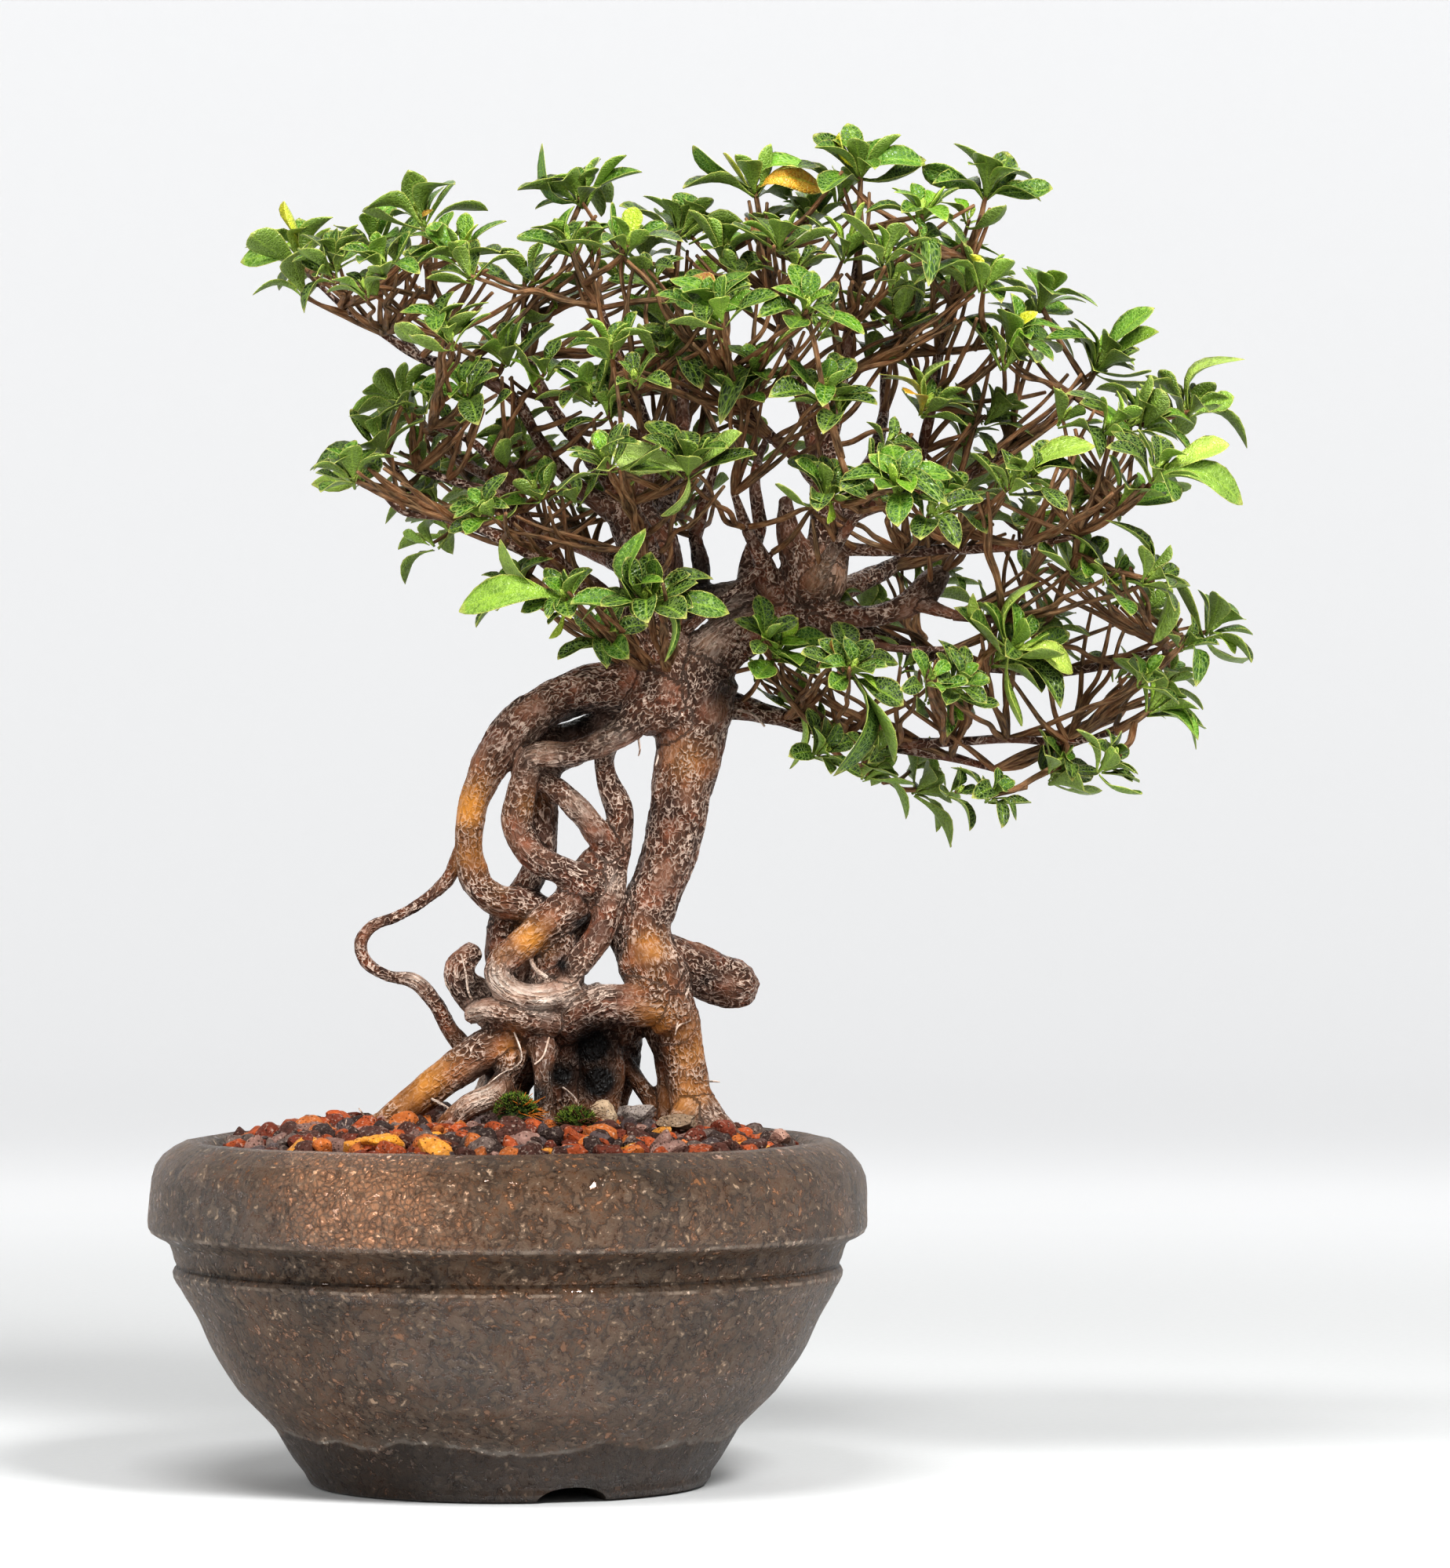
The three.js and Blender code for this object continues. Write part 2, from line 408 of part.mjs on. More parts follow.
// ---- Leafy shoots: each is a forked twig with a rosette of leaves on every end ----
// Rosettes are [x, y, z, reach]. A shoot's first leaves the nearest limb, and the others fork from its twig.
const shoots = [
  [[-69, -5, 407, 15], [-56, -20, 404, 12]],
  [[-45, 12, 413, 14], [-39, -12, 400, 12]],
  [[-28, -16, 419, 16], [-14, -22, 405, 13]],
  [[-1, -10, 374, 14], [-19, -28, 379, 13]],
  [[-42, -16, 345, 15], [-36, -4, 360, 13]],
  [[-50, -24, 334, 12], [-26, -26, 329, 11]],
  [[-13, -14, 361, 12]],
  [[-32, 26, 358, 13], [-22, 30, 338, 12]],
  [[10, -18, 329, 11], [3, -20, 350, 10]],
  [[-5, -24, 322, 10]],
  [[4, -14, 297, 13], [20, -18, 293, 11]],
  [[33, -18, 281, 11]],
  [[47, -30, 292, 14]],
  [[5, 14, 403, 13], [24, 18, 429, 14]],
  [[21, -20, 410, 13], [40, -28, 409, 13]],
  [[57, 10, 418, 14], [44, 30, 412, 13], [68, 30, 400, 13]],
  [[82, 8, 431, 15], [72, -4, 408, 13]],
  [[101, 10, 423, 13], [90, -20, 410, 12]],
  [[117, -8, 436, 15], [112, -22, 408, 12]],
  [[136, -14, 419, 12], [124, -32, 404, 12]],
  [[159, -4, 430, 14], [149, -20, 407, 14]],
  [[137, 14, 401, 13], [128, -10, 386, 13]],
  [[167, -10, 379, 14], [157, 6, 397, 12]],
  [[197, 8, 373, 15], [178, 8, 394, 14]],
  [[212, 2, 352, 14], [228, 4, 358, 14], [198, -14, 350, 12]],
  [[212, -38, 333, 14], [190, -38, 330, 12]],
  [[28, -28, 360, 13], [35, -40, 374, 12], [54, -34, 376, 13]],
  [[67, -32, 386, 14], [82, -36, 366, 12]],
  [[60, -56, 335, 15], [34, -50, 336, 12]],
  [[104, -36, 360, 13], [98, -44, 386, 12]],
  [[105, -50, 327, 13], [128, -62, 328, 13]],
  [[145, -30, 325, 14], [165, -30, 330, 12]],
  [[138, -18, 357, 13], [160, -4, 355, 12]],
  [[89, -18, 276, 12], [92, -4, 262, 10]],
  [[113, -24, 270, 13]],
  [[103, 6, 243, 11], [120, 10, 236, 13], [138, 26, 231, 12]],
  [[141, -8, 261, 12]],
  [[166, -28, 277, 15], [147, -34, 266, 11]],
  [[182, 0, 235, 13], [160, 8, 229, 10]],
  [[214, -8, 258, 14], [197, -10, 238, 11]],
  [[234, 6, 284, 15], [212, 10, 292, 12], [222, 10, 268, 11]],
  [[188, -22, 304, 13], [210, -28, 300, 13], [178, -20, 286, 12]],
  [[-14, 66, 335, 14], [6, 56, 340, 13], [-24, 52, 322, 12], [30, 46, 330, 12]],
  [[54, 74, 376, 14], [36, 60, 366, 13], [76, 58, 360, 13], [52, 46, 390, 13], [60, 60, 334, 12]],
  [[166, 74, 336, 14], [142, 64, 304, 13], [176, 54, 318, 12], [120, 48, 290, 12]],
];

const placed = [];

// Moves a rosette fore and aft in small steps until it clears those already placed.
function settled([x, y, z, reach]) {
  const step = 5 * treeScale;
  const room = rosetteRoom * treeScale;
  let shift = 0;
  const meets = ([px, py, pz]) => Math.hypot(px - x, py - y - shift, pz - z) < room;
  for (let tries = 1; placed.some(meets); tries += 1) {
    shift = Math.ceil(tries / 2) * step * (tries % 2 === 0 ? 1 : -1);
  }
  placed.push([x, y + shift, z, reach]);
  return [x, y + shift, z, reach];
}

// Nearest listed point among some strands.
function nearest(strands, [x, y, z]) {
  let found = null;
  let least = Infinity;
  for (const points of strands) {
    for (const point of points.slice(1)) {
      const away = Math.hypot(point[0] - x, point[1] - y, point[2] - z) - point[3];
      if (away < least) {
        least = away;
        found = point;
      }
    }
  }
  return found;
}

// The way of a twig from a strand's point out to a rosette: it leaves low and turns up to the light.
function twigWay(from, to) {
  const sag = Math.min(4 * treeScale, Math.abs(to[2] - from[2]) * 0.2);
  const middle = from.map((value, i) => (value + to[i]) / 2);
  middle[2] -= sag;
  return [from, middle, to];
}

// The point half way along a twig, as [x, y, z, radius].
function halfWay([from, middle, to]) {
  const point = [0, 1, 2].map((i) => from[i] / 4 + middle[i] / 2 + to[i] / 4);
  return [...point, twigRadius];
}

// Which way a rosette faces: outwards from the heart of the crown, and up.
const [crownHeart] = grown([[75, 15, 300, 0]]);
function facing([x, y, z]) {
  const out = new THREE.Vector3(x - crownHeart[0], y - crownHeart[1], z - crownHeart[2]);
  return out.normalize().add(new THREE.Vector3(0, -0.25, 0.75)).normalize();
}

// A twig that ends in a star of leaves about a bud, as one closed mesh. Every leaf widens to a blunt
// tip and cups upwards, and the twig has one side for each leaf.
function leafyTwig([from, middle, to], turn) {
  const [x, y, z, reach] = to;
  const centre = new THREE.Vector3(x, y, z);
  const axis = new THREE.QuadraticBezierCurve3(
    new THREE.Vector3(...from.slice(0, 3)),
    new THREE.Vector3(...middle.slice(0, 3)),
    centre,
  );
  const frames = axis.computeFrenetFrames(twigRings);
  const face = facing(to);
  const tilt = new THREE.Quaternion().setFromUnitVectors(frames.tangents[twigRings], face);
  const place = (origin, across, up, angle, radius, rise = 0) => origin.clone()
    .addScaledVector(across, Math.cos(angle) * radius)
    .addScaledVector(up, Math.sin(angle) * radius)
    .addScaledVector(face, rise);
  const leafAngle = (leaf) => turn + (leaf * 2 * Math.PI) / rosetteLeaves;
  const rings = [];
  for (let ring = 0; ring <= twigRings; ring += 1) {
    const last = ring === twigRings;
    const across = frames.normals[ring].clone();
    const up = new THREE.Vector3().crossVectors(frames.tangents[ring], across);
    if (last) [across, up].forEach((direction) => direction.applyQuaternion(tilt));
    const along = axis.getPointAt(ring / twigRings);
    const origin = last ? centre.clone().addScaledVector(face, -budBase) : along;
    const corners = [];
    for (let leaf = 0; leaf < rosetteLeaves; leaf += 1) {
      corners.push(place(origin, across, up, leafAngle(leaf), twigRadius));
    }
    rings.push({ corners, across, up });
  }
  const { across, up } = rings[twigRings];
  const half = Math.PI / rosetteLeaves;
  const triangles = [];
  for (let leaf = 0; leaf < rosetteLeaves; leaf += 1) {
    const next = (leaf + 1) % rosetteLeaves;
    const angle = leafAngle(leaf);
    const star = (direction, share) => {
      return place(centre, across, up, direction, share * reach, share * share * leafCup * reach);
    };
    const outline = [
      star(angle - half, 0.24),
      star(angle - leafSpread, 1),
      star(angle + leafSpread, 1),
      star(leafAngle(next) - half, 0.24),
    ];
    const bud = centre.clone().addScaledVector(face, budHeight);
    const stalk = rings[twigRings].corners;
    for (let i = 0; i < 3; i += 1) {
      triangles.push(bud, outline[i], outline[i + 1]);
      triangles.push(stalk[leaf], outline[i + 1], outline[i]);
    }
    triangles.push(stalk[leaf], stalk[next], outline[3]);
    for (let ring = 0; ring < twigRings; ring += 1) {
      const [low, high] = [rings[ring].corners, rings[ring + 1].corners];
      triangles.push(low[leaf], low[next], high[next], low[leaf], high[next], high[leaf]);
    }
    const start = rings[0].corners;
    if (leaf > 1) triangles.push(start[0], start[leaf], start[leaf - 1]);
  }
  const mesh = new THREE.BufferGeometry().setFromPoints(triangles);
  return solid(mesh);
}

let otherTwigs = null;
shoots.forEach((listed, i) => {
  const rosettes = grown(listed).map(settled);
  const ways = [];
  for (const end of rosettes) {
    const forks = ways.map((way) => [way[0], halfWay(way)]);
    ways.push(twigWay(nearest(ways.length ? forks : limbStrands, end), end));
  }
  const twigs = ways.map((way, j) => leafyTwig(way, i * 1.7 + j * 2.3));
  const room = ways.map((way) => strand(way.map(([x, y, z]) => [x, y, z, twigRadius]), 6, clearance));
  let shoot = joined(twigs).subtract(treeRoom);
  if (otherTwigs) shoot = shoot.subtract(otherTwigs);
  otherTwigs = otherTwigs ? joined([otherTwigs, ...room]) : joined(room);
  add(`leafy_shoot_${i + 1}`, shoot, leafGreens[i % leafGreens.length], 0.5);
});

// ---- Larger stones and moss lying in the grit ----
// Stones are [x, y, z, length, depth, height, turn].
const stones = [
  [-38, -70, 117, 15, 11, 8, 10],
  [32, -25, 124, 10, 9, 10, 30],
  [43, -13, 124, 14, 10, 8, -15],
  [57, -32, 121.5, 15, 9, 6, 5],
  [90, -14, 116, 9, 8, 7, 60],
  [-58, 24, 119.5, 13, 10, 8, 40],
];
const mosses = [[3, -25, 124, 13, 10, 13, 0], [23, -36, 121.5, 13, 11, 10, 30]];

function lump([x, y, z, length, depth, height, turn], grow) {
  const ball = new THREE.IcosahedronGeometry(1, 1);
  const position = ball.attributes.position;
  for (let i = 0; i < position.count; i += 1) {
    const [u, v, w] = [position.getX(i), position.getY(i), position.getZ(i)];
    const knock = 1 + 0.1 * Math.sin(3 * u + length) * Math.cos(4 * v + depth) * Math.cos(2 * w);
    position.setXYZ(i, u * knock, v * knock, w * knock);
  }
  ball.scale(length / 2 + grow, depth / 2 + grow, height / 2 + grow);
  ball.rotateZ(radians(turn)).translate(x, y, z - soilLine + rimHeight);
  return solid(ball);
}

const stoneRoom = joined(stones.map((stone) => lump(stone, clearance)));
const mossRoom = joined(mosses.map((moss) => lump(moss, clearance)));
stones.forEach((stone, i) => {
  add(`stone_${i + 1}`, lump(stone, 0).subtract(treeRoom), stoneColours[i], 0.8);
});
mosses.forEach((moss, i) => {
  add(`moss_${i + 1}`, lump(moss, 0).subtract(joined([treeRoom, stoneRoom])), mossGreen, 0.95);
});

// ---- Grit: a mounded bumpy layer, hollowed where roots, stones and moss sit in it ----
function gritLayer() {
  const bottom = soilTop + clearance;
  const edge = insideRadiusAt(soilTop) - clearance;
  const edgeTop = rimHeight - gritEdgeDrop;
  const rings = [[edge, 0], [0.86, 0.45], [0.68, 0.78], [0.48, 0.95], [0.25, 1]];
  const profile = [[0, bottom], [edge, bottom], [edge, edgeTop]];
  for (const [share, rise] of rings.slice(1)) profile.push([edge * share, edgeTop + gritMound * rise]);
  profile.push([0, edgeTop + gritMound]);
  const points = profile.map(([r, z]) => new THREE.Vector2(r, z));
  const layer = new THREE.LatheGeometry(points, turnedSides).rotateX(Math.PI / 2);
  const position = layer.attributes.position;
  for (let i = 0; i < position.count; i += 1) {
    const [x, y, z] = [position.getX(i), position.getY(i), position.getZ(i)];
    const inner = z > edgeTop + 0.1;
    const bump = inner ? gritBump * (Math.sin(x * 0.9 + y * 0.4) + Math.cos(y * 1.1 - x * 0.3)) : 0;
    position.setZ(i, z + bump);
  }
  return solid(layer);
}

const grit = gritLayer().subtract(joined([treeRoom, stoneRoom, mossRoom]));
add('grit', grit, gritRust, 0.9);

export default part;
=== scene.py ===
"""A bonsai azalea on bare looped roots, leaning out over a round stoneware bowl of red grit.

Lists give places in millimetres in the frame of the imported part. Meshes are made in millimetres
and scaled once, in mesh_piece.
"""
import math
import random

import bpy
import numpy as np
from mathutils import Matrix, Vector, kdtree, noise


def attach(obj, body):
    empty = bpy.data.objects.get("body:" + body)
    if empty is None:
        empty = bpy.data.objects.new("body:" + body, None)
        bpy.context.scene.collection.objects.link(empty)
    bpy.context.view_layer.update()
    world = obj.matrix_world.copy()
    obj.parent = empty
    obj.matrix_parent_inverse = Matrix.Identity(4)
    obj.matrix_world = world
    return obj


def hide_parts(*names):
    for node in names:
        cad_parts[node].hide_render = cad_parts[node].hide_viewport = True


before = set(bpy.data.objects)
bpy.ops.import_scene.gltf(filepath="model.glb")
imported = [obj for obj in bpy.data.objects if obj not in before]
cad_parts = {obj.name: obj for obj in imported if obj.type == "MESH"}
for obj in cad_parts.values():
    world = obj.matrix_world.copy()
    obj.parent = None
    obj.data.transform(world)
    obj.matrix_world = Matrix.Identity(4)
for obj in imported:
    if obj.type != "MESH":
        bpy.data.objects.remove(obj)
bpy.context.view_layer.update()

MM = 0.001
UP = np.array([0.0, 0.0, 1.0])
GOLDEN_ANGLE = math.radians(137.5)
dice = random.Random(11)

# Kinds of shader node, and the smooth step that many of the spreads use.
MATH, MIX, SPREAD = "ShaderNodeMath", "ShaderNodeMix", "ShaderNodeMapRange"
NOISE, CELLS, SCALED = "ShaderNodeTexNoise", "ShaderNodeTexVoronoi", "ShaderNodeVectorMath"
COORDINATES, STORED = "ShaderNodeTexCoord", "ShaderNodeAttribute"
AXES, CHANNELS, BUMP = "ShaderNodeSeparateXYZ", "ShaderNodeSeparateColor", "ShaderNodeBump"
EASED = "SMOOTHSTEP"


# ---- Colour and nodes ----
def linear(hex_colour):
    """An sRGB hex colour as linear RGBA."""
    channels = [int(hex_colour[i:i + 2], 16) / 255 for i in (1, 3, 5)]
    return (*(c / 12.92 if c <= 0.04045 else ((c + 0.055) / 1.055) ** 2.4 for c in channels), 1.0)


def put(tree, kind, inputs, out=0, **settings):
    """Adds a node with its settings, and links or sets its inputs. Gives back one output."""
    node = tree.nodes.new(kind)
    for name, value in settings.items():
        setattr(node, name, value)
    for socket, value in inputs.items():
        if isinstance(value, bpy.types.NodeSocket):
            tree.links.new(value, node.inputs[socket])
        else:
            node.inputs[socket].default_value = linear(value) if isinstance(value, str) else value
    return node.outputs[out]


def new_material(name, **surface):
    """A material with a Principled surface, whose constants sit on its own sockets."""
    material = bpy.data.materials.new(name)
    material.use_nodes = True
    shader = material.node_tree.nodes["Principled BSDF"]
    for socket, value in surface.items():
        shader.inputs[socket.replace("_", " ")].default_value = value
    return material, material.node_tree, shader


def finish_surface(tree, shader, colour, roughness, height, depth_mm):
    """Links a surface's colour, roughness and relief to its shader."""
    tree.links.new(colour, shader.inputs["Base Color"])
    tree.links.new(roughness, shader.inputs["Roughness"])
    bump = put(tree, BUMP, {"Height": height, "Distance": depth_mm * MM})
    tree.links.new(bump, shader.inputs["Normal"])


# ---- Materials ----
def stoneware_glaze():
    """Coarse stoneware under a thin iron slip, worked by hand: dull brown, finely wrinkled, pale at the edges
    with wear and painted highlight.

    Its grain is finer than a millimetre in life. It is drawn 3 to 6 mm apart, so that it shows."""
    material, tree, shader = new_material("stoneware_iron_slip", IOR=1.5, Specular_IOR_Level=0.7)
    place = put(tree, COORDINATES, {}, "Object")
    x, y, z = (put(tree, AXES, {0: place}, axis) for axis in range(3))
    clouds = put(tree, NOISE, {"Vector": place, "Scale": 1 / (36 * MM), "Detail": 6.0, "Roughness": 0.6})
    clouds = put(tree, SPREAD, {0: clouds, 1: 0.38, 2: 0.62})
    warped = put(tree, NOISE, {"Vector": place, "Scale": 1 / (9 * MM), "Detail": 2.0}, 1)
    warped = put(tree, SCALED, {0: warped, 1: (5 * MM, 5 * MM, 5 * MM), 2: place}, operation="MULTIPLY_ADD")
    fine = put(tree, NOISE, {"Vector": warped, "Scale": 1 / (3 * MM), "Detail": 7.0, "Roughness": 0.7})
    fine = put(tree, SPREAD, {0: fine, 1: 0.4, 2: 0.62})
    colour = put(tree, MIX, {0: clouds, 6: GLAZE_DARK, 7: GLAZE_BROWN}, 2, data_type="RGBA")
    share = put(tree, MATH, {0: fine, 1: 0.6}, operation="MULTIPLY")
    colour = put(tree, MIX, {0: share, 6: colour, 7: GLAZE_GREY}, 2, data_type="RGBA")

    # The tool dragged grit through the slip, which left short wrinkles 2 to 3 mm apart.
    wrinkles = put(tree, NOISE, {"Vector": warped, "Scale": 1 / (6 * MM), "Detail": 5.0, "Roughness": 0.6})
    wrinkles = put(tree, MATH, {0: wrinkles, 1: 0.5}, operation="SUBTRACT")
    wrinkles = put(tree, MATH, {0: wrinkles}, operation="ABSOLUTE")
    wrinkles = put(tree, SPREAD, {0: wrinkles, 1: 0.0, 2: 0.05, 3: 1.0, 4: 0.0}, interpolation_type=EASED)
    share = put(tree, MATH, {0: wrinkles, 1: 0.55}, operation="MULTIPLY")
    colour = put(tree, MIX, {0: share, 6: colour, 7: GLAZE_POOL_AND_SHADE}, 2, data_type="RGBA")

    # Hard water left a pale, broken scum line above the foot, and a dark wet band under it.
    ripple = put(tree, NOISE, {"Vector": place, "Scale": 1 / (21 * MM), "Detail": 4.0})
    level = put(tree, MATH, {0: ripple, 1: 13 * MM, 2: z}, operation="MULTIPLY_ADD")
    away = put(tree, MATH, {0: level, 1: (SCUM_LINE + 6.5) * MM}, operation="SUBTRACT")
    above = put(tree, SPREAD, {0: away, 1: 0.0, 2: 4.5 * MM, 3: 0.42, 4: 0.0})
    away = put(tree, MATH, {0: away}, operation="ABSOLUTE")
    line = put(tree, SPREAD, {0: away, 1: 0.3 * MM, 2: 1.0 * MM, 3: 1.0, 4: 0.0}, interpolation_type=EASED)
    wet = put(tree, SPREAD, {0: level, 1: (SCUM_LINE + 5) * MM, 2: (SCUM_LINE + 6.5) * MM, 3: 0.72, 4: 0.0})
    colour = put(tree, MIX, {0: wet, 6: colour, 7: GLAZE_WET}, 2, data_type="RGBA")
    patchy = put(tree, NOISE, {"Vector": warped, "Scale": 1 / (12 * MM), "Detail": 4.0})
    patchy = put(tree, SPREAD, {0: patchy, 1: 0.42, 2: 0.58, 3: 0.1, 4: 0.9})
    dry = put(tree, MATH, {0: wet, 1: 0.05}, operation="LESS_THAN")
    above = put(tree, MATH, {0: above, 1: dry}, operation="MULTIPLY")
    scum = put(tree, MATH, {0: line, 1: above}, operation="MAXIMUM")
    scum = put(tree, MATH, {0: scum, 1: patchy}, operation="MULTIPLY")
    colour = put(tree, MIX, {0: scum, 6: colour, 7: SCUM}, 2, data_type="RGBA")

    # A crease above the bead is painted dark as shade, and two edges are painted pale, as highlights broken
    # like wear.
    away = put(tree, MATH, {0: z, 1: CREASE_Z * MM}, operation="SUBTRACT")
    away = put(tree, MATH, {0: away}, operation="ABSOLUTE")
    shaded_crease = put(tree, SPREAD, {0: away, 1: 0.2 * MM, 2: 0.8 * MM, 3: 0.5, 4: 0.0}, interpolation_type=EASED)
    # Painted shade: the crease is darkened towards the pooled glaze colour.
    colour = put(tree, MIX, {0: shaded_crease, 6: colour, 7: GLAZE_POOL_AND_SHADE}, 2, data_type="RGBA")
    broken = put(tree, NOISE, {"Vector": place, "Scale": 1 / (4 * MM), "Detail": 4.0})
    # The pale lines at the bead and the lip edge are painted highlights, broken like wear.
    for height in (BEAD_Z, LIP_EDGE_Z):
        away = put(tree, MATH, {0: z, 1: height * MM}, operation="SUBTRACT")
        away = put(tree, MATH, {0: away}, operation="ABSOLUTE")
        edge_wear_and_highlight = put(tree, SPREAD, {0: away, 1: 0.2 * MM, 2: 0.9 * MM, 3: 1.0, 4: 0.0},
                   interpolation_type=EASED)
        rubbed_and_highlight = put(tree, SPREAD, {0: broken, 1: 0.42, 2: 0.62, 3: 0.0, 4: 0.9})
        edge_wear_and_highlight = put(tree, MATH, {0: edge_wear_and_highlight, 1: rubbed_and_highlight}, operation="MULTIPLY")
        colour = put(tree, MIX, {0: edge_wear_and_highlight, 6: colour, 7: GLAZE_EDGE_WEAR_AND_HIGHLIGHT}, 2, data_type="RGBA")

    # Iron came through as a finely crackled copper colour on one side of the lip, painted bright there as a
    # highlight.
    leftward = put(tree, SPREAD, {0: x, 1: -4 * MM, 2: -28 * MM, 3: 0.0, 4: 1.0})
    rightward = put(tree, SPREAD, {0: x, 1: -58 * MM, 2: -80 * MM, 3: 1.0, 4: 0.0})
    front = put(tree, SPREAD, {0: y, 1: 0.0, 2: -40 * MM})
    lip = put(tree, SPREAD, {0: z, 1: 82 * MM, 2: 88 * MM}, interpolation_type=EASED)
    crackle = put(tree, CELLS, {"Vector": warped, "Scale": 1 / (2 * MM)}, "Distance",
                  feature="DISTANCE_TO_EDGE")
    crackle = put(tree, SPREAD, {0: crackle, 1: 0.02, 2: 0.3, 3: 0.15, 4: 1.0})
    copper_and_highlight = put(tree, MATH, {0: leftward, 1: rightward}, operation="MULTIPLY")
    copper_and_highlight = put(tree, MATH, {0: copper_and_highlight, 1: front}, operation="MULTIPLY")
    copper_and_highlight = put(tree, MATH, {0: copper_and_highlight, 1: lip}, operation="MULTIPLY")
    copper_and_highlight = put(tree, MATH, {0: copper_and_highlight, 1: crackle}, operation="MULTIPLY")
    thin = put(tree, SPREAD, {0: clouds, 3: 0.6, 4: 1.0})
    copper_and_highlight = put(tree, MATH, {0: copper_and_highlight, 1: thin}, operation="MULTIPLY")
    colour = put(tree, MIX, {0: copper_and_highlight, 6: colour, 7: GLAZE_COPPER_AND_HIGHLIGHT}, 2, data_type="RGBA")

    # Grit burnt out of the clay and left pits and dark specks.
    pits = put(tree, CELLS, {"Vector": place, "Scale": 1 / (8 * MM)}, "Distance")
    pits = put(tree, SPREAD, {0: pits, 1: 0.04, 2: 0.11, 3: 0.8, 4: 0.0})
    colour = put(tree, MIX, {0: pits, 6: colour, 7: GLAZE_POOL_AND_SHADE}, 2, data_type="RGBA")
    dull = put(tree, MATH, {0: fine, 1: line}, operation="MAXIMUM")
    roughness = put(tree, SPREAD, {0: dull, 3: 0.24, 4: 0.46})
    roughness = put(tree, MATH, {0: copper_and_highlight, 1: -0.1, 2: roughness}, operation="MULTIPLY_ADD")
    height = put(tree, MATH, {0: wrinkles, 1: -0.6, 2: fine}, operation="MULTIPLY_ADD")
    height = put(tree, MATH, {0: pits, 1: -0.2, 2: height}, operation="MULTIPLY_ADD")
    height = put(tree, MATH, {0: shaded_crease, 1: -1.5, 2: height}, operation="MULTIPLY_ADD")
    finish_surface(tree, shader, colour, roughness, height, 3.4)
    return material


